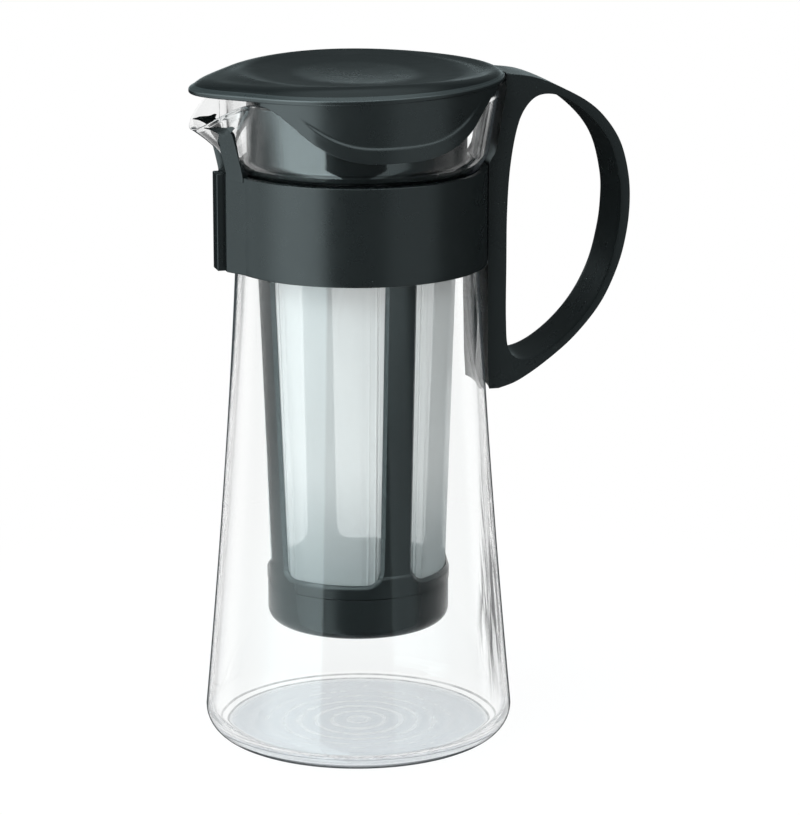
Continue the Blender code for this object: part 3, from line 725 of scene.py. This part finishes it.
def round_sharp(edit, width, segments, limit=30.0):
    """Turn the faces outwards and round the sharp edges."""
    bmesh.ops.recalc_face_normals(edit, faces=edit.faces)
    edges = [
        edge for edge in edit.edges
        if len(edge.link_faces) == 2 and edge.calc_face_angle() > math.radians(limit)
    ]
    bmesh.ops.bevel(
        edit, geom=edges, offset=width, offset_type="OFFSET", segments=segments, profile=0.5,
        affect="EDGES", clamp_overlap=True, material=-1,
    )


def join(edit, other):
    """Add one shape to another and free it."""
    holder = bpy.data.meshes.new("holder")
    other.to_mesh(holder)
    other.free()
    edit.from_mesh(holder)
    bpy.data.meshes.remove(holder)


def new_object(edit, name, *finishes):
    """Make an object of a shape with its finishes."""
    mesh = bpy.data.meshes.new(name)
    edit.to_mesh(mesh)
    edit.free()
    for finish in finishes:
        mesh.materials.append(finish)
    piece = bpy.data.objects.new(name, mesh)
    bpy.context.scene.collection.objects.link(piece)
    return piece


def finished(edit, name, finishes, body, node_name, sharp=40.0):
    """Make a piece of a shape, let it move with its body and let it stand for its solid."""
    piece = new_object(edit, name, *finishes)
    piece.data.shade_smooth()
    piece.data.set_sharp_from_angle(angle=math.radians(sharp))
    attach(piece, body)
    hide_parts(node_name)


def foot_share(glass, radius):
    """1 in the middle of the foot, easing to 0 at the ring that it stands on."""
    return smooth_step(1.0 - radius / glass.foot_radius)


def glass_floor(glass, radius):
    """Height of the inner floor, with its faint rings."""
    wave = math.cos(full_turn * radius / glass.ripple_pitch)
    return glass.floor + glass.ripple * wave * (0.35 + 0.65 * foot_share(glass, radius))


def carafe_profile(pot):
    """Section of the glass from the middle of its floor, over the rim, to the middle of its underside."""
    glass = pot.glass
    body_steps, shoulder_steps, flare_steps, floor_steps = 44, 16, 18, 70
    body = glass.waist_height - glass.base_corner
    heights = [glass.base_corner + body * index / body_steps for index in range(body_steps + 1)]
    rises = [glass.step_rise * index / shoulder_steps for index in range(1, shoulder_steps + 1)]
    heights += [glass.waist_height + rise for rise in rises]
    heights += [pot.step_top + glass.flare_rise * index / flare_steps for index in range(1, flare_steps)]
    outer = [(pot.glass_radius(height), height) for height in heights]
    lowest = glass.base_corner + glass.wall
    inner = [(radius - glass.wall, height) for radius, height in outer if height > lowest]
    bead = glass.wall / 2.0
    rim = arc(pot.rim_radius - bead, pot.rim_height - bead, bead, math.pi, 0.0, 8)
    centre = pot.glass_radius(0.0) - glass.base_corner
    floor_height = glass.base_corner + glass.floor - glass.wall
    floor_corner = arc(centre, floor_height, glass.base_corner - glass.wall, -quarter, 0.0, 10)
    outer_corner = arc(centre, glass.base_corner, glass.base_corner, 0.0, -quarter, 12)
    radii = [centre * index / floor_steps for index in range(floor_steps)]
    floor = [(radius, glass_floor(glass, radius)) for radius in radii]
    underside = [(radius, glass.push_up * foot_share(glass, radius)) for radius in reversed(radii[::2])]
    return floor + floor_corner + inner + rim + outer[:0:-1] + outer_corner + underside


class BREWER_OT_carafe(bpy.types.Operator):
    """Blow the glass carafe with its spout"""

    bl_idname = "brewer.carafe"
    bl_label = "Glass carafe"

    def execute(self, context):
        pot = Pot(context.scene)
        edit = bmesh.new()
        turned(edit, carafe_profile(pot), 216)
        for corner in edit.verts:
            outward, downward = pot.spout_pull(spout_angle(corner), corner.co.z)
            if outward > 0.0 and axis_distance(corner) > 0.0:
                move_out(corner, axis_distance(corner) + outward)
                corner.co.z -= downward
        finished(edit, "carafe", [clear_glass()], "pot", "glass_carafe", sharp=60.0)
        return {"FINISHED"}


def band_plan(pot):
    """Plan of the band: outer arc, one end, inner arc and the other end."""
    band = pot.band
    span = math.pi - band.end_angle
    outer = arc(0.0, 0.0, pot.band_radius, -span, span, 150)
    slot = band.slot_depth - pot.end_reach
    head = band.head_thickness - pot.head_reach
    end = [
        (-pot.end_reach, band.end_face_half_width),
        (-pot.end_reach, band.slot_half_width),
        (slot, band.slot_half_width),
        (slot, band.neck_half_width),
        (head, band.neck_half_width),
        (head, band.head_half_width),
        (-pot.head_reach, band.head_half_width),
        (-pot.head_reach, band.split_half_gap),
    ]
    bore = pot.glass.waist_radius + gap
    slit = math.asin(band.split_half_gap / bore)
    inner = arc(0.0, 0.0, bore, math.pi - slit, slit - math.pi, 180)
    return outer + end + inner + [(x, -y) for x, y in reversed(end)]


def add_prong(edit, pot, side):
    """Add one leaning prong beside the spout."""
    band = pot.band
    slant = 0.72 * (band.prong_height - band.prong_shoulder)

    def shape(across, up):
        across = (across + 1.0) / 2.0
        height = (up + 1.0) / 2.0 * (band.prong_height + band.prong_root) - band.prong_root
        cut_back = smooth_step((height - band.prong_shoulder) / slant)
        inner = band.prong_inner + (band.prong_tip - band.prong_inner) * cut_back
        spot = inner + (band.prong_outer - inner) * across
        tip = max(height - band.prong_height + band.prong_dome, 0.0)
        lean = band.prong_lean * min(max(height / band.prong_height, 0.0), 1.0) ** 1.1
        out = pot.end_reach - (spot - band.end_face_half_width) * band.prong_face_slope + lean
        return -out, side * spot, pot.band_top + height - tip * (2.0 * across - 1.0) ** 2

    corners, faces = bent_sheet(edit, 10, 26, shape)
    front = set(corners)
    thick = bmesh.ops.solidify(edit, geom=faces, thickness=band.prong_depth)["geom"]
    for corner in front | {item for item in thick if isinstance(item, bmesh.types.BMVert)}:
        least = pot.bore_radius(corner)
        if axis_distance(corner) < least:
            move_out(corner, least)


class BREWER_OT_band(bpy.types.Operator):
    """Mould the band with its split ends and prongs"""

    bl_idname = "brewer.band"
    bl_label = "Band"

    def execute(self, context):
        pot = Pot(context.scene)
        edit = bmesh.new()
        raised(edit, band_plan(pot), pot.band_top - pot.band.height, pot.band_top, 10)
        for corner in edit.verts:
            if axis_distance(corner) < pot.band_radius - pot.band.wall / 2.0:
                move_out(corner, pot.bore_radius(corner))
        round_sharp(edit, pot.band.edge_round, 3)
        prongs = bmesh.new()
        for side in (-1.0, 1.0):
            add_prong(prongs, pot, side)
        round_sharp(prongs, pot.band.prong_round, 3, limit=50.0)
        join(edit, prongs)
        finished(edit, "strap", [satin_plastic("band plastic")], "pot", "band")
        return {"FINISHED"}


class BREWER_OT_clip(bpy.types.Operator):
    """Mould the clip that closes the band"""

    bl_idname = "brewer.clip"
    bl_label = "Band clip"

    def execute(self, context):
        pot = Pot(context.scene)
        band = pot.band
        face = pot.head_reach + gap
        hook = pot.head_reach - band.head_thickness - gap
        inner = band.head_half_width + gap
        outer = inner + band.clip_side_wall
        tongue = band.neck_half_width + gap
        half = [
            (-face - band.clip_face_wall, outer),
            (band.clip_hook - hook, outer),
            (band.clip_hook - hook, tongue),
            (-hook, tongue),
            (-hook, inner),
            (-face, inner),
        ]
        edit = bmesh.new()
        plan = half + [(x, -y) for x, y in reversed(half)]
        raised(edit, plan, pot.band_top - band.height, pot.band_top, 1)
        round_sharp(edit, band.clip_round, 3)
        finish = satin_plastic("clip plastic", tone_and_painted_light=0.9)
        finished(edit, "strap_clip", [finish], "clip", "band_clip")
        return {"FINISHED"}


# Outlines of the handle, as shares of its reach and of its height
handle_outer_shares = [
    (0.20, 1.000), (0.36, 0.988), (0.53, 0.955), (0.71, 0.906), (0.83, 0.852),
    (0.93, 0.776), (0.985, 0.680), (1.00, 0.585), (0.98, 0.480), (0.925, 0.375),
    (0.815, 0.260), (0.645, 0.158), (0.455, 0.080), (0.27, 0.022), (0.14, 0.000),
]
handle_inner_shares = [
    (0.188, 0.560), (0.205, 0.700), (0.245, 0.820), (0.300, 0.890), (0.390, 0.930),
    (0.520, 0.928), (0.660, 0.888), (0.800, 0.820), (0.885, 0.745), (0.935, 0.640),
    (0.940, 0.560), (0.920, 0.470), (0.860, 0.355), (0.750, 0.250), (0.600, 0.165),
    (0.430, 0.105), (0.290, 0.088), (0.205, 0.125), (0.186, 0.220), (0.186, 0.400),
]
curve_steps = 8


def curve_stretch(*group):
    """Points from the second point towards the third on a smooth curve through four points."""
    result = []
    for step in range(curve_steps):
        t = step / curve_steps
        weights = (
            (-t + 2.0 * t * t - t ** 3) / 2.0,
            (2.0 - 5.0 * t * t + 3.0 * t ** 3) / 2.0,
            (t + 4.0 * t * t - 3.0 * t ** 3) / 2.0,
            (-t * t + t ** 3) / 2.0,
        )
        result.append(tuple(sum(w * p[axis] for w, p in zip(weights, group)) for axis in (0, 1)))
    return result


def smooth_curve(points, closed):
    """Smooth curve through points."""
    padded = [points[-1], *points, *points[:2]] if closed else [points[0], *points, points[-1]]
    result = []
    for index in range(len(padded) - 3):
        result += curve_stretch(*padded[index:index + 4])
    return result if closed else result + [points[-1]]


class BREWER_OT_handle(bpy.types.Operator):
    """Mould the handle with its column and bow"""

    bl_idname = "brewer.handle"
    bl_label = "Handle"

    def execute(self, context):
        pot = Pot(context.scene)
        handle = pot.handle
        low = pot.band_top - pot.band.height - handle.drop
        high = pot.lid_edge + handle.top_step
        root = pot.glass.waist_radius - handle.root_inset
        reach = pot.lid_radius + handle.bow - root

        def spots(pairs):
            return [(root + reach * across, low + (high - low) * up) for across, up in pairs]

        column_steps, layers = 60, 10
        column = spots([(0.0, index / column_steps) for index in range(column_steps + 1)])
        outline = column + smooth_curve(spots(handle_outer_shares), closed=False)
        opening = smooth_curve(spots(handle_inner_shares), closed=True)
        edit = bmesh.new()
        filled(edit, outline, opening, depth=-handle.width / 2.0)
        bmesh.ops.recalc_face_normals(edit, faces=edit.faces)
        draw_out(edit, edit.faces[:], (0.0, handle.width / layers, 0.0), layers)
        for corner in edit.verts:
            if corner.co.x < root + merge_distance:
                corner.co.x = math.sqrt(pot.column_radius(corner.co.z) ** 2 - corner.co.y ** 2)
        round_sharp(edit, handle.edge_round, 5, limit=45.0)
        # Darker copy of the plastic: painted shade for the shadow that the glass, the filter and the band
        # cast on the handle
        finish = satin_plastic("handle plastic", tone_and_painted_light=0.75, shine=0.3, grain_share=0.3)
        finished(edit, "grip", [finish], "pot", "handle")
        return {"FINISHED"}


def lid_profile(pot):
    """Section of the lid from the middle of its top, over the edge, to the middle of its underside."""
    lid = pot.lid
    dish_steps, crown_steps, fall_steps = 24, 14, 10
    points = []
    for index in range(dish_steps):
        out = index / dish_steps
        points.append((pot.dish_radius * out, pot.lid_top - lid.hollow * (1.0 - out ** 2)))
    for index in range(crown_steps + 1):
        up = index / crown_steps
        rise = smooth_step(up ** 0.8)
        points.append((pot.dish_radius + lid.crown_width * up, pot.lid_top + lid.crown_rise * rise))
    for index in range(1, fall_steps + 1):
        out = index / fall_steps
        fall = lid.edge_fall * (1.0 - out ** 2.4)
        points.append((pot.crown_radius + (lid.edge_width - lid_side_round) * out, pot.lid_edge + fall))
    side = pot.lid_radius - lid_side_round
    low = pot.lid_edge - lid.edge_thickness
    points += arc(side, pot.lid_edge - lid_side_round, lid_side_round, quarter * 0.7, 0.0, 5)
    points += arc(side, low + lid_side_round, lid_side_round, 0.0, -quarter, 5)
    lip = pot.lid_radius - lid.lip_inset
    under = pot.lid_underside
    plug = pot.collar_bore - gap
    foot = [
        (lip, low),
        (lip, under),
        (plug, under),
        (plug, under - lid.plug_depth),
        (plug - lid.plug_wall, under - lid.plug_depth),
        (plug - lid.plug_wall, under),
    ]
    return points + round_corners(foot, lid.plug_round, 3) + [(0.0, under)]


def shape_lid(edit, pot):
    """Sag the crown, lean the edge and pull out the beak."""
    lid = pot.lid
    for corner in edit.verts:
        radius = axis_distance(corner)
        if radius <= pot.dish_radius:
            continue
        along = corner.co.x / radius
        out = (radius - pot.dish_radius) / (pot.lid_radius - pot.dish_radius)
        width = lid.edge_width if radius > pot.crown_radius else lid.crown_width
        near = min(abs(radius - pot.crown_radius) / width, 1.0)
        on_top = smooth_step((corner.co.z - pot.lid_edge) / lid_side_round + 1.0)
        sag = lid.crown_sag * (0.5 + 0.5 * math.cos(math.pi * near)) * along ** 2 * on_top
        corner.co.z += lid.edge_lean * along * out ** 2 - sag
        angle = abs(spout_angle(corner)) / lid.beak_half_angle
        if angle < 1.0:
            pull = math.cos(angle * quarter) ** 4.0 * out
            move_out(corner, radius + lid.beak_reach * pull)
            corner.co.z -= lid.beak_drop * pull


def skirt(pot, side):
    """One finger skirt with its ledge."""
    lid = pot.lid
    outer = pot.lid_radius - lid.skirt_inset
    top = pot.lid_edge - lid.edge_thickness / 2.0
    reach = lid.skirt_depth - lid.edge_thickness
    ledge_lift, ledge_ease = 0.0008, 0.0010

    def shape(spread, up):
        down = (1.0 - up) / 2.0
        angle = side * lid.skirt_turn + spread * lid.skirt_half_angle
        hang = 1.0 - smooth_step(abs(spread) ** 1.6)
        depth = lid.edge_thickness + reach * hang
        height = top + lid.edge_lean * math.cos(angle) - depth * down
        above = depth * (1.0 - down)
        inside = smooth_step((hang - 0.35) / 0.3)
        ledge = smooth_step((lid.ledge_rise + ledge_lift - above) / ledge_ease)
        curl = 1.0 - 0.35 * smooth_step(above / lid.ledge_rise)
        radius = outer + lid.ledge_proud * ledge * inside * curl
        return radius * math.cos(angle), radius * math.sin(angle), height

    edit = bmesh.new()
    faces = bent_sheet(edit, 110, 40, shape)[1]
    bmesh.ops.solidify(edit, geom=faces, thickness=lid.skirt_wall - lid.skirt_inset)
    round_sharp(edit, lid.skirt_round, 3, limit=60.0)
    return edit


class BREWER_OT_lid(bpy.types.Operator):
    """Mould the lid with its beak, skirts and plug"""

    bl_idname = "brewer.lid"
    bl_label = "Lid"

    def execute(self, context):
        pot = Pot(context.scene)
        edit = bmesh.new()
        turned(edit, lid_profile(pot), 240)
        # Faces along the top of the lid's outer edge take a paler, glossier copy of the plastic: the gloss is
        # a finish, the paler colour a painted highlight for the line of light along the edge
        edge_width, edge_height = 0.0009, 0.0007
        for face in edit.faces:
            middle = face.calc_center_median()
            in_highlight_band = math.hypot(middle.x, middle.y) > pot.lid_radius - edge_width
            if in_highlight_band and middle.z > pot.lid_edge - edge_height:
                face.material_index = 1
        shape_lid(edit, pot)
        for side in (-1.0, 1.0):
            join(edit, skirt(pot, side))
        finish = satin_plastic("lid plastic", shine=0.6, grain_share=0.1, dish=True)
        # Paler copy of the plastic: painted highlight on the lid's edge
        edge = satin_plastic("lid edge plastic", tone_and_painted_light=3.5, shine=0.8, grain_share=0.3)
        finished(edit, "cover", [finish, edge], "lid_body", "lid")
        return {"FINISHED"}


def window_plan(pot, inset, steps=10):
    """Outline of a window, unrolled: angle from its middle and height."""
    sieve = pot.sieve
    low = pot.ring_bottom + sieve.window_sill + inset
    high = pot.glass.waist_height - sieve.window_drop - inset
    corner = sieve.window_corner - inset
    points = []
    for centre, start in ((low + corner, -quarter), (high - corner, 0.0)):
        for step in range(steps + 1):
            angle = start + quarter * step / steps
            height = centre + corner * math.sin(angle)
            radius = pot.frame_radius(height)
            side = half_panel - math.asin(sieve.rib_width / 2.0 / radius)
            points.append((side - (corner * (1.0 - math.cos(angle)) + inset) / radius, height))
    return points + [(-across, height) for across, height in reversed(points)]


def slice_up(edit, slices):
    """Cut an unrolled quarter at even angles, so that it can be rolled up."""
    for number in range(1, slices):
        cut(edit, (half_panel * (2.0 * number / slices - 1.0), 0.0, 0.0), (1.0, 0.0, 0.0))


def roll_up(edit, pot, index, inset):
    """Roll an unrolled quarter round the axis: X is an angle, Y a depth and Z a height."""
    for corner in edit.verts:
        angle = corner.co.x + pot.sieve.rib_turn + half_panel + index * quarter
        radius = pot.frame_radius(corner.co.z) - inset - corner.co.y
        corner.co = (radius * math.cos(angle), radius * math.sin(angle), corner.co.z)


def wall_panel(pot, index):
    """Quarter of the frame's wall with its window and the sloped ledge round it."""
    edit = bmesh.new()
    low, high = pot.ring_bottom, pot.flange_seat
    border = [(-half_panel, low), (half_panel, low), (half_panel, high), (-half_panel, high)]
    corners = filled(edit, border, window_plan(pot, -pot.sieve.window_slope))
    deep = [edit.verts.new((x, pot.sieve.window_set, z)) for x, z in window_plan(pot, 0.0)]
    # The sloped ledge round the window takes the frame's second finish, a paler copy of the plastic: a
    # painted highlight for the light caught by the ledge
    for spot in range(len(deep)):
        ledge = edit.faces.new((corners[spot - 1], corners[spot], deep[spot], deep[spot - 1]))
        ledge.material_index = 1
    slice_up(edit, 36)
    fade_steps = 6
    for step in range(fade_steps + 1):
        height = pot.ring_top + ring_fade * (step / fade_steps - 0.5)
        cut(edit, (0.0, 0.0, height), (0.0, 0.0, 1.0))
    roll_up(edit, pot, index, 0.0)
    return edit


class BREWER_OT_filter_frame(bpy.types.Operator):
    """Mould the filter's frame with its collar, ribs and bottom ring"""

    bl_idname = "brewer.filter_frame"
    bl_label = "Filter frame"

    def execute(self, context):
        pot = Pot(context.scene)
        sieve = pot.sieve
        wall = bmesh.new()
        for index in range(4):
            join(wall, wall_panel(pot, index))
        bmesh.ops.remove_doubles(wall, verts=wall.verts, dist=10.0 * merge_distance)
        face_outwards(wall, wall.faces[:])
        bmesh.ops.solidify(wall, geom=wall.faces[:], thickness=sieve.wall)
        bmesh.ops.recalc_face_normals(wall, faces=wall.faces)
        seat = pot.flange_seat
        flange_top = seat + sieve.flange_thickness
        under = pot.lid_underside - gap
        collar_section = [
            (pot.collar_bore, under),
            (pot.collar_radius, under),
            (pot.collar_radius, flange_top),
            (pot.flange_radius, flange_top),
            (pot.flange_radius, seat),
            (pot.body_radius, seat - wall_overlap),
            (pot.body_radius - sieve.wall, seat - wall_overlap),
            (pot.collar_bore, flange_top),
        ]
        low = pot.ring_bottom
        top = low + sieve.window_sill - wall_overlap
        lining = pot.ring_radius - sieve.wall
        inner, outer = lining - 0.0004, lining + 0.0003
        ring_section = [(outer, low), (inner, low), (inner, top), (outer, top)]
        for section in (collar_section, ring_section):
            ring = bmesh.new()
            turned(ring, round_corners(section, 0.0006, 4, closed=True), 160, closed=True)
            join(wall, ring)
        finish = satin_plastic("frame plastic", gloss=0.06, shine=0.3)
        # Paler, slightly glossier copy of the plastic for the window ledges: the paler colour is a painted
        # highlight
        edge = satin_plastic("frame ledge highlight plastic", tone_and_painted_light=2.8, gloss=0.06, shine=0.4)
        finished(wall, "sieve_frame", [finish, edge], "filter", "filter_frame")
        return {"FINISHED"}


class BREWER_OT_mesh_panels(bpy.types.Operator):
    """Weave the four panels of filter mesh"""

    bl_idname = "brewer.mesh_panels"
    bl_label = "Mesh panels"

    def execute(self, context):
        pot = Pot(context.scene)
        finish = woven_mesh(pot)
        for index in range(4):
            edit = bmesh.new()
            filled(edit, window_plan(pot, -pot.sieve.mesh_overlap))
            slice_up(edit, 40)
            roll_up(edit, pot, index, pot.sieve.wall - pot.sieve.mesh_wall)
            tidy(edit)
            face_outwards(edit, edit.faces[:])
            finished(edit, f"gauze_{index + 1}", [finish], "filter", f"mesh_panel_{index + 1}")
        return {"FINISHED"}


class BREWER_OT_filter_cap(bpy.types.Operator):
    """Mould the filter's twist-off cap"""

    bl_idname = "brewer.filter_cap"
    bl_label = "Filter cap"

    def execute(self, context):
        pot = Pot(context.scene)
        sieve = pot.sieve
        ring_wall, cap_inset, edge_round = 0.0020, 0.0002, 0.0003
        radius = pot.ring_radius - cap_inset
        rim = pot.ring_bottom - gap
        low = pot.ring_bottom - sieve.cap_height
        floor = low + sieve.cap_wall
        spigot = radius - ring_wall - gap
        top = rim + sieve.spigot_height
        profile = [
            (0.0, floor),
            (spigot - sieve.spigot_wall, floor),
            (spigot - sieve.spigot_wall, top),
            (spigot, top),
            (spigot, rim),
            (radius, rim),
        ]
        upper = round_corners(profile, edge_round, 3)[:-1]
        edge = arc(radius - edge_round, rim - edge_round, edge_round, quarter, 0.0, 3)
        corner = arc(radius - sieve.cap_corner, low + sieve.cap_corner, sieve.cap_corner, 0.0, -quarter, 10)
        edit = bmesh.new()
        turned(edit, upper + edge + corner + [(0.0, low)], 160)
        finish = satin_plastic("cap plastic", gloss=0.06, shine=0.3)
        finished(edit, "sieve_cap", [finish], "cap", "filter_cap")
        return {"FINISHED"}


def table_finish():
    """White table, which keeps a faint shadow."""
    finish, tree = new_finish("white table")
    x, y, z = parts_of(place_of(tree))
    far = ramp((x * x + y * y).root(), 0.10, 0.28)
    seen = ray(tree, "Is Camera Ray").largest(ray(tree, "Is Transmission Ray"))
    cloth = node(tree, "ShaderNodeBsdfDiffuse", values={"Color": (0.92, 0.92, 0.92, 1.0)})
    lit = node(tree, "ShaderNodeEmission", values={"Color": white, "Strength": 1.0})
    open_air = node(tree, "ShaderNodeBsdfTransparent", values={"Color": white})
    top = blend_shaders(seen * (0.90 + 0.10 * far), cloth, lit)
    show(blend_shaders(ray(tree, "Glossy Depth").over(0.5), top, open_air))
    return finish


def studio_light(scene):
    """World: a dark room with a wide light on the left, one on the right and one overhead."""
    stage = scene.stage_sizes
    scene.world = bpy.data.worlds.new("studio")
    tree = clear_tree(scene.world, "ShaderNodeOutputWorld")
    x, y, z = parts_of(node(tree, "ShaderNodeTexCoord", output="Generated"))
    ahead = 0.0 - (x * math.sin(stage.azimuth) + y * math.cos(stage.azimuth))
    leftward = y * math.sin(stage.azimuth) - x * math.cos(stage.azimuth)

    # Degrees round the pot: 0 towards the camera, positive to its left
    bearing = x.work("ARCTAN2", leftward, ahead) * math.degrees(1.0)
    aside = bearing.size()
    edge = 1.2
    far_end = ramp(bearing, 62.0, 95.0)
    key = bearing.between(28.0, 118.0, edge) * ramp(z, 0.80, 0.60)
    key = key * (stage.key + (stage.side - stage.key) * far_end)
    fill = bearing.between(-76.0, -28.0, edge) * ramp(z, 0.60, 0.45)
    wall = stage.wall_light * ramp(z, 0.0, 0.1) + stage.wall_foot * z.between(-0.03, 0.09, 0.02)
    wall = wall * ramp(aside, 140.0, 165.0)
    front = bearing.between(-30.0, 30.0, 6.0) * ramp(z, 0.5, 0.3)
    strip = bearing.between(-70.0, 75.0, 6.0) * z.between(0.50, 0.78, 0.03)

    # The glass's own gloss sees weaker lights, so that its outlines stay clear
    sharp = ray(tree, "Is Glossy Ray") * ray(tree, "Is Singular Ray")
    key = key * (1.0 - sharp * (0.2 + 0.62 * far_end))
    fill = fill * (1.0 - 0.75 * sharp * ramp(bearing, -44.0, -54.0))
    front = front * (1.0 - 0.8 * sharp)
    matt = ray(tree, "Is Diffuse Ray")
    level = stage.room + key + stage.fill * fill + wall + stage.top * ramp(z, 0.80, 0.92)
    level = level + stage.front * front + stage.strip * strip + stage.soft_fill * matt

    # Straight through glass, and in the glass's gloss from behind, the room is plain white
    around = ramp(aside, 70.0, 95.0) * 0.65
    straight = ray(tree, "Is Transmission Ray") * (1.0 - ray(tree, "Diffuse Depth").over(0.5))
    straight = straight * (1.0 - ray(tree, "Glossy Depth").over(0.5) * (1.0 - around))
    seen = ray(tree, "Is Camera Ray").largest(straight).largest(sharp * ramp(aside, 102.0, 118.0))
    tint = blend_colours(matt, (0.80, 0.97, 1.0), (1.0, 1.0, 1.0))
    studio = node(tree, "ShaderNodeBackground", values={"Color": tint, "Strength": level})
    backdrop = node(tree, "ShaderNodeBackground", values={"Color": white, "Strength": 1.0})
    show(blend_shaders(seen, studio, backdrop))


class BREWER_OT_stage(bpy.types.Operator):
    """Set up the table, the studio light and the camera"""

    bl_idname = "brewer.stage"
    bl_label = "Stage"

    def execute(self, context):
        stage = context.scene.stage_sizes
        edit = bmesh.new()
        bmesh.ops.create_circle(edit, cap_ends=True, segments=96, radius=stage.table_radius)
        bmesh.ops.translate(edit, verts=edit.verts, vec=(0.0, 0.0, -stage.table_drop))
        table = new_object(edit, "table", table_finish())
        table.visible_glossy = False
        studio_light(context.scene)
        forward = Vector((math.sin(stage.azimuth), math.cos(stage.azimuth), 0.0))
        right = Vector((math.cos(stage.azimuth), -math.sin(stage.azimuth), 0.0))
        camera = bpy.data.objects.new("camera", bpy.data.cameras.new("camera"))
        context.scene.collection.objects.link(camera)
        camera.location = right * stage.camera_side - forward * stage.distance
        camera.location.z = stage.camera_height
        camera.rotation_euler = (quarter - stage.pitch, 0.0, -stage.azimuth)
        camera.data.sensor_fit = "HORIZONTAL"
        camera.data.sensor_width = 36.0
        camera.data.lens = stage.focal_length
        camera.data.clip_start = 0.01
        context.scene.camera = camera
        context.scene.view_settings.view_transform = "Standard"
        return {"FINISHED"}


class BREWER_PT_panel(bpy.types.Panel):
    """Lists the pieces of the coffee maker"""

    bl_label = "Coffee maker"
    bl_idname = "BREWER_PT_panel"
    bl_space_type = "VIEW_3D"
    bl_region_type = "UI"
    bl_category = "Coffee"

    def draw(self, context):
        for operator in piece_operators:
            self.layout.operator(operator.bl_idname)
        for name in size_groups:
            box = self.layout.box()
            group = getattr(context.scene, name)
            for item in group.__annotations__:
                box.prop(group, item)


size_groups = {
    "carafe_sizes": CarafeSizes,
    "band_sizes": BandSizes,
    "handle_sizes": HandleSizes,
    "lid_sizes": LidSizes,
    "filter_sizes": FilterSizes,
    "coffee_finishes": Finishes,
    "stage_sizes": StageSizes,
}

piece_operators = [
    BREWER_OT_stage,
    BREWER_OT_carafe,
    BREWER_OT_band,
    BREWER_OT_clip,
    BREWER_OT_handle,
    BREWER_OT_lid,
    BREWER_OT_filter_frame,
    BREWER_OT_mesh_panels,
    BREWER_OT_filter_cap,
]


def register():
    """Register the sizes, the operators and the panel."""
    for name, group in size_groups.items():
        bpy.utils.register_class(group)
        setattr(bpy.types.Scene, name, PointerProperty(type=group))
    for operator in piece_operators:
        bpy.utils.register_class(operator)
    bpy.utils.register_class(BREWER_PT_panel)


def unregister():
    """Take away what register added."""
    bpy.utils.unregister_class(BREWER_PT_panel)
    for operator in reversed(piece_operators):
        bpy.utils.unregister_class(operator)
    for name, group in reversed(size_groups.items()):
        delattr(bpy.types.Scene, name)
        bpy.utils.unregister_class(group)


def main():
    """Build every piece."""
    register()
    for operator in piece_operators:
        family, name = operator.bl_idname.split(".")
        getattr(getattr(bpy.ops, family), name)()


if __name__ == "__main__":
    main()
